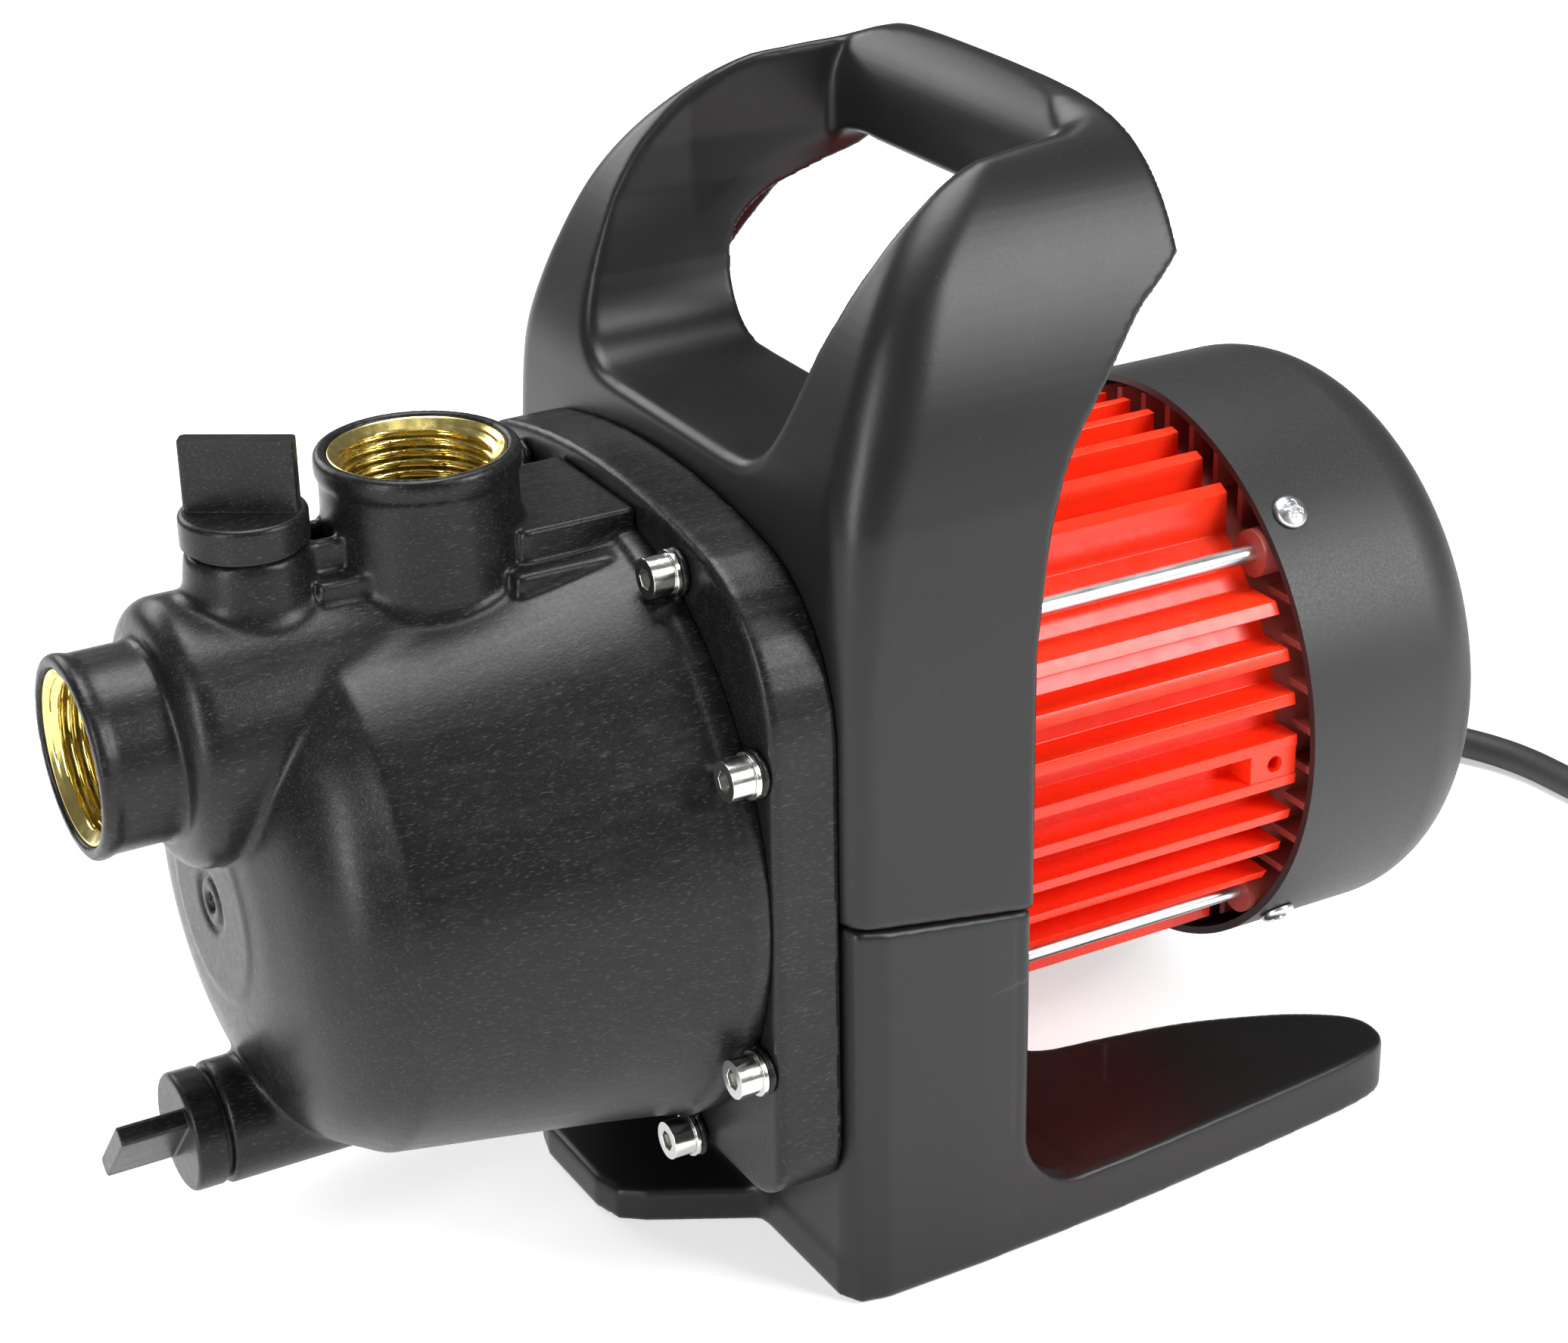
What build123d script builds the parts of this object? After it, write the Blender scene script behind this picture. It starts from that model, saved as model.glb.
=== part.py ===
from build123d import *
import math
import os

os.makedirs("parts", exist_ok=True)

# ---------------------------------------------------------------- sizes (mm)
# X runs along the shaft from the pump end to the motor end, Z is up, and the
# origin is on the underside of the base, below the shaft.
shaft_z = 95.0                 # shaft height above the ground

# pump casing
casing_front = -142.5          # flat front disc of the barrel
disc_r = 21.0
flange_front, flange_back = -55.0, -50.0
flange_r = 71.0
screw_pcr = 75.2               # pitch radius of the casing screws
screw_angles = [27.0, 61.5, 118.5, 153.0, 207.0, 241.5, 298.5, 333.0]
jet_z, jet_r = 134.5, 28.0     # suction tube along the top of the barrel
jet_front = -151.0
port_r = 20.6                  # both ports, outside
thread_minor_r = 15.15         # G1, 30.3 mm minor diameter
insert_r = 18.2
suction_rim = -167.9
outlet_x, outlet_rim = -90.0, 184.6
filler_x, filler_seat = -127.6, 171.2
drain_z, drain_seat = 43.3, -146.9
plug_r = 12.9
wing_len, wing_t, wing_h = 23.0, 4.8, 14.6
plug_lead = 3.0

# bracket ring between casing and motor
ring_front, ring_back = -50.0, -35.0

# handle shell and base
shell_front = -35.0
leg_rear = 9.8
half_w = 76.0
deck_z = 179.3
shell_bore_r = 64.6

# motor
housing_front, housing_rear = -18.0, 86.7
fin_tip_r, fin_root_r, bore_r = 63.25, 55.5, 52.0
fin_pitch, fin_t = 9.4, 2.6
rod_y, rod_z, rod_r = 43.4, 41.9, 2.0
cover_r, cover_t = 67.6, 1.8
cover_front, cover_rear, cover_round = 88.2, 142.0, 19.0
shaft_r = 6.0
cover_screw_angles = (48, 132, 225, 315)

# cord
cord_d = 8.4
cord_r = cord_d / 2
coil_r1, coil_r2 = 41.8, 50.2  # the two columns of turns

X_AXIS = Axis((0, 0, shaft_z), (1, 0, 0))


def yz(x, z=shaft_z, y=0.0):
    """Plane square to the shaft: local x is world Y, local y is world Z."""
    return Plane(origin=(x, y, z), x_dir=(0, 1, 0), z_dir=(1, 0, 0))


# ---------------------------------------------------------------- pump casing
with BuildPart() as pump_casing:
    # barrel, with its flange
    with BuildSketch(Plane.XZ):
        with BuildLine():
            Line((casing_front, shaft_z), (casing_front, shaft_z + disc_r))
            Spline((casing_front, shaft_z + disc_r), (-140.9, shaft_z + 31.0), (-137.0, shaft_z + 44.0),
                   (-130.3, shaft_z + 53.3), (-121.0, shaft_z + 59.0), (-107.0, shaft_z + 63.2),
                   (-88.0, shaft_z + 66.5), (flange_front, shaft_z + 69.0))
            Polyline((flange_front, shaft_z + 69.0), (flange_front, shaft_z + flange_r),
                     (flange_back, shaft_z + flange_r), (flange_back, shaft_z), (casing_front, shaft_z))
        make_face()
    revolve(axis=X_AXIS)
    # screw ears round the flange
    with BuildSketch(yz(flange_front)):
        with Locations(*[(-screw_pcr * math.cos(math.radians(a)), screw_pcr * math.sin(math.radians(a))) for a in screw_angles]):
            Circle(5.6)
    extrude(amount=flange_back - flange_front)
    # stiffened pad between the outlet and the flange
    with BuildSketch(Plane.XY.offset(150)):
        with Locations(((outlet_x + flange_back) / 2 + 7, 0)):
            RectangleRounded(26, 46, 3)
    extrude(amount=18.5)
    # suction tube and its threaded end
    with BuildSketch(yz(jet_front, jet_z)):
        Circle(jet_r)
    extrude(amount=70)
    fillet(pump_casing.faces().sort_by(Axis.X)[0].edges(), radius=6.5)
    with BuildSketch(yz(suction_rim, jet_z)):
        Circle(port_r)
    extrude(amount=jet_front - suction_rim + 4)
    # outlet boss, flared where it meets the barrel
    with BuildSketch(Plane.XZ):
        with BuildLine():
            Polyline((outlet_x, 148), (outlet_x + 22.6, 148), (outlet_x + 21.4, 158), (outlet_x + 20.6, 167),
                     (outlet_x + 20.2, 174), (outlet_x + 20.2, 179.4), (outlet_x + 21, 180.4),
                     (outlet_x + 21, outlet_rim - 0.8), (outlet_x + 20.2, outlet_rim), (outlet_x, outlet_rim), (outlet_x, 148))
        make_face()
    revolve(axis=Axis((outlet_x, 0, 0), (0, 0, 1)))
    # filler boss and the webs that tie it to the outlet boss
    with BuildSketch(Plane.XY.offset(150)):
        with Locations((filler_x, 0)):
            Circle(12.3)
    extrude(amount=filler_seat - 150)
    with BuildSketch(Plane.XY.offset(155)):
        with Locations(((filler_x + outlet_x) / 2, -5), ((filler_x + outlet_x) / 2, 5)):
            Rectangle(16, 2.4)
    extrude(amount=16)
    # drain boss under the barrel
    with BuildSketch(yz(drain_seat, drain_z)):
        Circle(13.3)
    extrude(amount=42)
    # water space
    with BuildSketch(Plane.XZ):
        with BuildLine():
            Line((-138.5, shaft_z), (-138.5, shaft_z + 18))
            Spline((-138.5, shaft_z + 18), (-136.9, shaft_z + 29.5), (-133.2, shaft_z + 41.2), (-127.0, shaft_z + 49.4),
                   (-119.0, shaft_z + 54.6), (-105.5, shaft_z + 58.8), (-87.0, shaft_z + 62.0), (-49.0, shaft_z + 64.0))
            Polyline((-49.0, shaft_z + 64.0), (-49.0, shaft_z), (-138.5, shaft_z))
        make_face()
    revolve(axis=X_AXIS, mode=Mode.SUBTRACT)
    with BuildSketch(yz(-147.0, jet_z)):
        Circle(23.6)
    extrude(amount=60, mode=Mode.SUBTRACT)
    with BuildSketch(yz(suction_rim, jet_z)):
        Circle(14.4)
    extrude(amount=30, mode=Mode.SUBTRACT)
    with BuildSketch(yz(suction_rim, jet_z)):
        Circle(insert_r + 0.02)
    extrude(amount=16.0, mode=Mode.SUBTRACT)
    with BuildSketch(Plane.XY.offset(outlet_rim)):
        with Locations((outlet_x, 0)):
            Circle(14.4)
    extrude(amount=-45, mode=Mode.SUBTRACT)
    with BuildSketch(Plane.XY.offset(outlet_rim)):
        with Locations((outlet_x, 0)):
            Circle(insert_r + 0.02)
    extrude(amount=-16.0, mode=Mode.SUBTRACT)
    with BuildSketch(Plane.XY.offset(filler_seat)):
        with Locations((filler_x, 0)):
            Circle(9.0)
    extrude(amount=-30, mode=Mode.SUBTRACT)
    with BuildSketch(yz(drain_seat, drain_z)):
        Circle(9.0)
    extrude(amount=26, mode=Mode.SUBTRACT)
    # seal groove and screw holes in the flange
    with BuildSketch(yz(-51.8)):
        Circle(67.2)
        Circle(64.9, mode=Mode.SUBTRACT)
    extrude(amount=3, mode=Mode.SUBTRACT)
    with BuildSketch(yz(flange_front - 6.2)):
        with Locations(*[(-screw_pcr * math.cos(math.radians(a)), screw_pcr * math.sin(math.radians(a))) for a in screw_angles]):
            Circle(5.5)
    extrude(amount=9.2, mode=Mode.SUBTRACT)
    with BuildSketch(yz(flange_front - 1)):
        with Locations(*[(-screw_pcr * math.cos(math.radians(a)), screw_pcr * math.sin(math.radians(a))) for a in screw_angles]):
            Circle(2.6)
    extrude(amount=8, mode=Mode.SUBTRACT)

# threaded brass inserts of the two ports
with BuildPart() as suction_insert:
    with BuildSketch(yz(suction_rim + 0.6, jet_z)):
        Circle(insert_r)
        Circle(thread_minor_r, mode=Mode.SUBTRACT)
    extrude(amount=15.3)
    chamfer(suction_insert.faces().sort_by(Axis.X)[0].edges().sort_by(SortBy.RADIUS)[0], length=1.6)

with BuildPart() as outlet_insert:
    with BuildSketch(Plane.XY.offset(outlet_rim - 0.6)):
        with Locations((outlet_x, 0)):
            Circle(insert_r)
            Circle(thread_minor_r, mode=Mode.SUBTRACT)
    extrude(amount=-15.3)
    chamfer(outlet_insert.faces().sort_by(Axis.Z)[-1].edges().sort_by(SortBy.RADIUS)[0], length=1.6)

# ---------------------------------------------------------------- plugs
with BuildPart() as filler_plug:
    with BuildSketch(Plane.XY.offset(filler_seat + 1.2)):
        with Locations((filler_x, 0)):
            Circle(plug_r)
    extrude(amount=6.6)
    fillet(filler_plug.faces().sort_by(Axis.Z)[-1].edges(), radius=1.2)
    with BuildSketch(Plane.XY.offset(filler_seat + 7)):
        with Locations(Location((filler_x, 0), -32)):
            RectangleRounded(wing_len, wing_t, 1.2)
    extrude(amount=wing_h + 0.8)
    with BuildSketch(Plane.XY.offset(filler_seat + 1.4)):
        with Locations((filler_x, 0)):
            Circle(8.6)
    extrude(amount=-12)

with BuildPart() as filler_oring:
    with BuildSketch(Plane.XY.offset(filler_seat)):
        with Locations((filler_x, 0)):
            Circle(11.3)
            Circle(9.1, mode=Mode.SUBTRACT)
    extrude(amount=1.2)

with BuildPart() as drain_plug:
    with BuildSketch(yz(drain_seat - 1.2, drain_z)):
        Circle(plug_r)
    extrude(amount=-6.6)
    fillet(drain_plug.faces().sort_by(Axis.X)[0].edges(), radius=1.2)
    with BuildSketch(yz(drain_seat - 7, drain_z)):
        with Locations(Location((0, 0), -48)):
            RectangleRounded(21.5, 4.4, 1.2)
    extrude(amount=-(wing_h + 0.8))
    with BuildSketch(yz(drain_seat - 1.4, drain_z)):
        Circle(8.6)
    extrude(amount=12)

with BuildPart() as drain_oring:
    with BuildSketch(yz(drain_seat - 1.2, drain_z)):
        Circle(11.3)
        Circle(9.1, mode=Mode.SUBTRACT)
    extrude(amount=1.2)

# ---------------------------------------------------------------- bracket ring
with BuildPart() as bracket_ring:
    with BuildSketch(Plane(origin=(ring_front, 0, 0), x_dir=(0, 1, 0), z_dir=(1, 0, 0))):
        with BuildLine():
            l1 = ThreePointArc((-41.5, 168.2), (0, 172.6), (41.5, 168.2))
            l2 = ThreePointArc((41.5, 168.2), (63.0, 156.6), (72.0, 131.0))
            Line((72.0, 131.0), (72.0, 40.0))
            ThreePointArc((72.0, 40.0), (68.3, 31.2), (59.5, 27.5))
            Line((59.5, 27.5), (-59.5, 27.5))
            ThreePointArc((-59.5, 27.5), (-68.3, 31.2), (-72.0, 40.0))
            Line((-72.0, 40.0), (-72.0, 131.0))
            ThreePointArc((-72.0, 131.0), (-63.0, 156.6), (-41.5, 168.2))
        make_face()
    extrude(amount=ring_back - ring_front)
    # seal and shaft bore
    with BuildSketch(yz(ring_front)):
        Circle(17.0)
    extrude(amount=20, mode=Mode.SUBTRACT)
    # relief at the back, which the motor's end shield enters
    with BuildSketch(yz(ring_back)):
        Circle(58.0)
    extrude(amount=-9.0, mode=Mode.SUBTRACT)
    with BuildSketch(yz(ring_front - 1)):
        with Locations(*[(-screw_pcr * math.cos(math.radians(a)), screw_pcr * math.sin(math.radians(a))) for a in screw_angles]):
            Circle(2.52)
    extrude(amount=12, mode=Mode.SUBTRACT)

with BuildPart() as casing_seal:
    with BuildSketch(yz(-51.8)):
        Circle(67.1)
        Circle(65.0, mode=Mode.SUBTRACT)
    extrude(amount=1.8)

with BuildPart() as casing_screws:
    for a in screw_angles:
        y, z = -screw_pcr * math.cos(math.radians(a)), shaft_z + screw_pcr * math.sin(math.radians(a))
        with BuildSketch(yz(-53.0, z, y)):
            Circle(4.25)
        extrude(amount=-5.0)
        with BuildSketch(yz(-58.0, z, y)):
            RegularPolygon(2.3, 6)
        extrude(amount=2.6, mode=Mode.SUBTRACT)
        with BuildSketch(yz(-53.0, z, y)):
            Circle(2.5)
        extrude(amount=13.0)

with BuildPart() as casing_washers:
    for a in screw_angles:
        y, z = -screw_pcr * math.cos(math.radians(a)), shaft_z + screw_pcr * math.sin(math.radians(a))
        with BuildSketch(yz(-53.0, z, y)):
            Circle(5.0)
            Circle(2.6, mode=Mode.SUBTRACT)
        extrude(amount=1.0)

# ---------------------------------------------------------------- wet end
with BuildPart() as ejector:
    with BuildSketch(Plane.XZ):
        with BuildLine():
            Polyline((-128, shaft_z + 5), (-128, shaft_z + 16), (-122, shaft_z + 16), (-116, shaft_z + 12), (-100, shaft_z + 9.5),
                     (-84, shaft_z + 13), (-80, shaft_z + 16), (-78.2, shaft_z + 16), (-78.2, shaft_z + 12), (-84, shaft_z + 10.5),
                     (-100, shaft_z + 6.8), (-112, shaft_z + 7.5), (-120, shaft_z + 5), (-128, shaft_z + 5))
        make_face()
    revolve(axis=X_AXIS)

with BuildPart() as diffuser:
    with BuildSketch(yz(-78.2)):
        Circle(58.0)
        Circle(13.0, mode=Mode.SUBTRACT)
    extrude(amount=3.0)
    with BuildSketch(yz(-75.2)):
        Circle(58.0)
        Circle(54.5, mode=Mode.SUBTRACT)
    extrude(amount=24.6)
    with BuildSketch(yz(-63.0)):
        with PolarLocations(59.6, 8, 22.5):
            Rectangle(5.4, 2.4)
    extrude(amount=12.4)
    with BuildSketch(yz(-63.0)):
        Circle(54.5)
    extrude(amount=12.4, mode=Mode.SUBTRACT)

with BuildPart() as impeller:
    with BuildSketch(yz(-64.0)):
        Circle(49.0)
    extrude(amount=3.0)
    with BuildSketch(yz(-73.0)):
        Circle(49.0)
        Circle(13.5, mode=Mode.SUBTRACT)
    extrude(amount=2.4)
    with BuildSketch(yz(-70.8)):
        with PolarLocations(31.5, 6, 10, rotate=True):
            with Locations(Location((0, 0), 32)):
                Rectangle(38.0, 2.2)
    extrude(amount=7.0)
    with BuildSketch(yz(-72.0)):
        Circle(10.0)
    extrude(amount=12.5)
    with BuildSketch(yz(-74.0)):
        Circle(49.0)
    extrude(amount=16, mode=Mode.INTERSECT)
    with BuildSketch(yz(-74.0)):
        Circle(shaft_r)
    extrude(amount=16, mode=Mode.SUBTRACT)

with BuildPart() as impeller_nut:
    with BuildSketch(yz(-77.0)):
        RegularPolygon(9.2, 6)
        Circle(shaft_r, mode=Mode.SUBTRACT)
    extrude(amount=5.0)

with BuildPart() as seal_rotating:
    with BuildSketch(yz(-59.3)):
        Circle(12.0)
        Circle(shaft_r, mode=Mode.SUBTRACT)
    extrude(amount=9.0)

with BuildPart() as seal_seat:
    with BuildSketch(yz(-50.0)):
        Circle(16.95)
        Circle(shaft_r + 1.0, mode=Mode.SUBTRACT)
    extrude(amount=6.0)

# ---------------------------------------------------------------- rotor
with BuildPart() as rotor_shaft:
    with BuildSketch(yz(-79.0)):
        Circle(shaft_r)
    extrude(amount=79.0 + 127.0)
    chamfer(rotor_shaft.edges().filter_by(GeomType.CIRCLE), length=0.6)

with BuildPart() as rotor_core:
    with BuildSketch(yz(5.0)):
        Circle(29.6)
        Circle(shaft_r, mode=Mode.SUBTRACT)
    extrude(amount=60.0)
    with BuildSketch(yz(0.0)):
        Circle(27.5)
        Circle(20.0, mode=Mode.SUBTRACT)
    extrude(amount=70.0)

with BuildPart() as cooling_fan:
    with BuildSketch(yz(108.0)):
        Circle(56.0)
        Circle(shaft_r, mode=Mode.SUBTRACT)
    extrude(amount=2.2)
    with BuildSketch(yz(108.0)):
        with PolarLocations(37.0, 8, rotate=True):
            Rectangle(38.0, 2.0)
    extrude(amount=18.0)
    with BuildSketch(yz(108.0)):
        Circle(12.0)
        Circle(shaft_r, mode=Mode.SUBTRACT)
    extrude(amount=18.0)

# ---------------------------------------------------------------- motor
with BuildPart() as front_end_shield:
    with BuildSketch(yz(ring_back - 9.0)):
        Circle(57.9)
        Circle(8.5, mode=Mode.SUBTRACT)
    extrude(amount=4.0)
    with BuildSketch(yz(ring_back - 5.0)):
        Circle(57.9)
        Circle(50.0, mode=Mode.SUBTRACT)
        Circle(22.0)
        Circle(16.0, mode=Mode.SUBTRACT)
    extrude(amount=15.0)
    with BuildSketch(yz(ring_back - 5.0)):
        with PolarLocations(36.0, 8, rotate=True):
            Rectangle(30.0, 3.0)
    extrude(amount=8.0)
    with BuildSketch(yz(ring_back)):
        Circle(60.0)
        Circle(50.0, mode=Mode.SUBTRACT)
    extrude(amount=housing_front - ring_back)
    with BuildSketch(yz(ring_back)):
        with Locations((rod_y, rod_z), (-rod_y, rod_z), (rod_y, -rod_z), (-rod_y, -rod_z)):
            Circle(4.0)
    extrude(amount=housing_front - ring_back)
    with BuildSketch(yz(ring_back - 1)):
        with Locations((rod_y, rod_z), (-rod_y, rod_z), (rod_y, -rod_z), (-rod_y, -rod_z)):
            Circle(rod_r + 0.05)
    extrude(amount=22, mode=Mode.SUBTRACT)

with BuildPart() as front_bearing:
    with BuildSketch(yz(-39.9)):
        Circle(15.98)
        Circle(shaft_r + 0.05, mode=Mode.SUBTRACT)
    extrude(amount=10.0)

with BuildPart() as motor_housing:
    fin_z = [fin_pitch * (k + 0.5) for k in range(-4, 4)]
    with BuildSketch(yz(housing_front)):
        with Locations(*[(0, z) for z in fin_z]):
            Rectangle(140, fin_t)
        with Locations(*[(z, 0) for z in fin_z]):
            Rectangle(fin_t, 140)
        Circle(fin_tip_r, mode=Mode.INTERSECT)
        Circle(fin_root_r)
        Circle(bore_r, mode=Mode.SUBTRACT)
    extrude(amount=housing_rear - housing_front)
    # tapped bosses between the middle fins
    with BuildSketch(yz(74.5)):
        with Locations((-59.0, 0), (59.0, 0)):
            Rectangle(7.6, 12.0)
    extrude(amount=12.2)
    with BuildSketch(Plane(origin=(81.0, 0, shaft_z), x_dir=(1, 0, 0), z_dir=(0, -1, 0)).offset(64)):
        Circle(1.9)
    extrude(amount=-8, mode=Mode.SUBTRACT)
    with BuildSketch(Plane(origin=(81.0, 0, shaft_z), x_dir=(1, 0, 0), z_dir=(0, -1, 0)).offset(-64)):
        Circle(1.9)
    extrude(amount=8, mode=Mode.SUBTRACT)
    # flat under the connection box
    with BuildSketch(Plane.XZ.offset(-59.5)):
        with Locations((45, shaft_z)):
            Rectangle(56, 52)
    extrude(amount=-6, mode=Mode.SUBTRACT)
    # clearance for the tie rods
    with BuildSketch(yz(housing_front)):
        with Locations((rod_y, rod_z), (-rod_y, rod_z), (rod_y, -rod_z), (-rod_y, -rod_z)):
            Circle(rod_r + 0.9)
    extrude(amount=110, mode=Mode.SUBTRACT)

with BuildPart() as stator_core:
    with BuildSketch(yz(5.0)):
        Circle(bore_r - 0.02)
        Circle(30.1, mode=Mode.SUBTRACT)
    extrude(amount=60.0)

with BuildPart() as windings:
    for x0 in (-11.5, 65.5):
        with BuildSketch(yz(x0)):
            Circle(47.0)
            Circle(32.0, mode=Mode.SUBTRACT)
        extrude(amount=16.0)

with BuildPart() as rear_end_shield:
    with BuildSketch(yz(housing_rear + 4.5)):
        with Locations(*[(0, z) for z in fin_z]):
            Rectangle(140, 1.8)
        with Locations(*[(z, 0) for z in fin_z]):
            Rectangle(1.8, 140)
        Circle(63.6, mode=Mode.INTERSECT)
        Circle(55.5)
        Circle(47.5, mode=Mode.SUBTRACT)
    extrude(amount=10.5)
    with BuildSketch(yz(housing_rear)):
        Circle(55.5)
        Circle(47.5, mode=Mode.SUBTRACT)
    extrude(amount=4.5)
    with BuildSketch(yz(housing_rear + 11.0)):
        Circle(50.0)
        Circle(9.0, mode=Mode.SUBTRACT)
    extrude(amount=4.0)
    with BuildSketch(yz(housing_rear + 1.0)):
        Circle(21.0)
        Circle(16.0, mode=Mode.SUBTRACT)
    extrude(amount=12.0)
    with BuildSketch(yz(housing_rear)):
        with Locations((rod_y, rod_z), (-rod_y, rod_z), (rod_y, -rod_z), (-rod_y, -rod_z)):
            Circle(5.4)
    extrude(amount=12.0)
    with BuildSketch(yz(housing_rear - 1)):
        with Locations((rod_y, rod_z), (-rod_y, rod_z), (rod_y, -rod_z), (-rod_y, -rod_z)):
            Circle(rod_r + 0.05)
    extrude(amount=20, mode=Mode.SUBTRACT)
    # radial holes that take the fan cover's screws
    for a in cover_screw_angles:
        d = (0, math.cos(math.radians(a)), math.sin(math.radians(a)))
        with BuildSketch(Plane(origin=(95.4, d[1] * 70, shaft_z + d[2] * 70), x_dir=(1, 0, 0), z_dir=(0, -d[1], -d[2]))):
            Circle(2.02)
        extrude(amount=13, mode=Mode.SUBTRACT)

with BuildPart() as rear_bearing:
    with BuildSketch(yz(housing_rear + 1.0)):
        Circle(15.98)
        Circle(shaft_r + 0.05, mode=Mode.SUBTRACT)
    extrude(amount=10.0)

with BuildPart() as tie_rods:
    for y, z in ((rod_y, rod_z), (-rod_y, rod_z), (rod_y, -rod_z), (-rod_y, -rod_z)):
        with BuildSketch(yz(ring_back + 0.2, shaft_z + z, y)):
            Circle(rod_r)
        extrude(amount=103.4 - ring_back)

with BuildPart() as tie_rod_nuts:
    for y, z in ((rod_y, rod_z), (-rod_y, rod_z), (rod_y, -rod_z), (-rod_y, -rod_z)):
        with BuildSketch(yz(housing_rear + 12.05, shaft_z + z, y)):
            RegularPolygon(4.6, 6)
            Circle(rod_r + 0.02, mode=Mode.SUBTRACT)
        extrude(amount=4.0)

with BuildPart() as fan_cover:
    with BuildSketch(Plane.XZ):
        with BuildLine():
            Polyline((cover_front, shaft_z + cover_r - cover_t), (cover_front, shaft_z + cover_r),
                     (cover_rear - cover_round, shaft_z + cover_r))
            RadiusArc((cover_rear - cover_round, shaft_z + cover_r), (cover_rear, shaft_z + cover_r - cover_round), cover_round)
            Polyline((cover_rear, shaft_z + cover_r - cover_round), (cover_rear, shaft_z), (cover_rear - cover_t, shaft_z),
                     (cover_rear - cover_t, shaft_z + cover_r - cover_round))
            RadiusArc((cover_rear - cover_t, shaft_z + cover_r - cover_round), (cover_rear - cover_round, shaft_z + cover_r - cover_t), -(cover_round - cover_t))
            Line((cover_rear - cover_round, shaft_z + cover_r - cover_t), (cover_front, shaft_z + cover_r - cover_t))
        make_face()
    revolve(axis=X_AXIS)
    # air slots in the rear wall
    with BuildSketch(yz(cover_rear - 4)):
        for r0, n, w in ((18.0, 8, 6.0), (29.0, 12, 6.0), (40.0, 16, 6.0), (50.0, 20, 5.0)):
            with PolarLocations(r0, n, rotate=True):
                Rectangle(7.6, w)
    extrude(amount=6, mode=Mode.SUBTRACT)
    for a in cover_screw_angles:
        d = (0, math.cos(math.radians(a)), math.sin(math.radians(a)))
        with BuildSketch(Plane(origin=(95.4, d[1] * 70, shaft_z + d[2] * 70), x_dir=(1, 0, 0), z_dir=(0, -d[1], -d[2]))):
            Circle(2.1)
        extrude(amount=6, mode=Mode.SUBTRACT)

with BuildPart() as cover_screws:
    for a in cover_screw_angles:
        d = (0, math.cos(math.radians(a)), math.sin(math.radians(a)))
        with BuildSketch(Plane(origin=(95.4, d[1] * 67.66, shaft_z + d[2] * 67.66), x_dir=(1, 0, 0), z_dir=(0, d[1], d[2]))):
            Circle(4.0)
        extrude(amount=2.3)
        with BuildSketch(Plane(origin=(95.4, d[1] * 67.66, shaft_z + d[2] * 67.66), x_dir=(1, 0, 0), z_dir=(0, d[1], d[2]))):
            Circle(2.0)
        extrude(amount=-4.4)

# ---------------------------------------------------------------- handle shell
arch = [(76.0, 168.0), (75.2, 180.0), (71.6, 196.0), (63.5, 212.5), (57.0, 221.8), (49.5, 231.5), (40.5, 240.0), (27.0, 245.6), (12.0, 247.3)]


def arch_line(inset, bottom):
    """Front view of the arch: upright sides and round shoulders."""
    right = [(y - inset * min(1.0, 1.15 * y / 76), z - inset * (1.0 if z > 185 else 0.0)) for y, z in arch]
    left = [(-y, z) for y, z in reversed(right)]
    top = (0.0, 247.6 - inset)
    Line((right[0][0], bottom), right[0])
    Spline(*right, top, *left, tangents=((0, 1), (0, -1)))
    Line(left[-1], (left[-1][0], bottom))
    Line((left[-1][0], bottom), (right[0][0], bottom))


FRONT_VIEW = Plane(origin=(-60, 0, 0), x_dir=(0, 1, 0), z_dir=(1, 0, 0))

# room behind the inner walls and the grip, which are shorter than the outer skin
with BuildPart() as rear_hollow:
    with BuildSketch(Plane.XZ.offset(-80)):
        with BuildLine():
            Spline((5.0, 176.0), (6.4, 192.0), (11.5, 202.0), (21.0, 210.5), (33.0, 217.5), (43.0, 228.0), (43.0, 262.0),
                   tangents=((0, 1), (0, 1)))
            Polyline((43.0, 262.0), (80.0, 262.0), (80.0, 176.0), (5.0, 176.0))
        make_face()
    extrude(amount=160)
    with BuildSketch(FRONT_VIEW):
        with BuildLine():
            arch_line(4.0, 150.0)
        make_face()
    extrude(amount=160, mode=Mode.INTERSECT)

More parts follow.
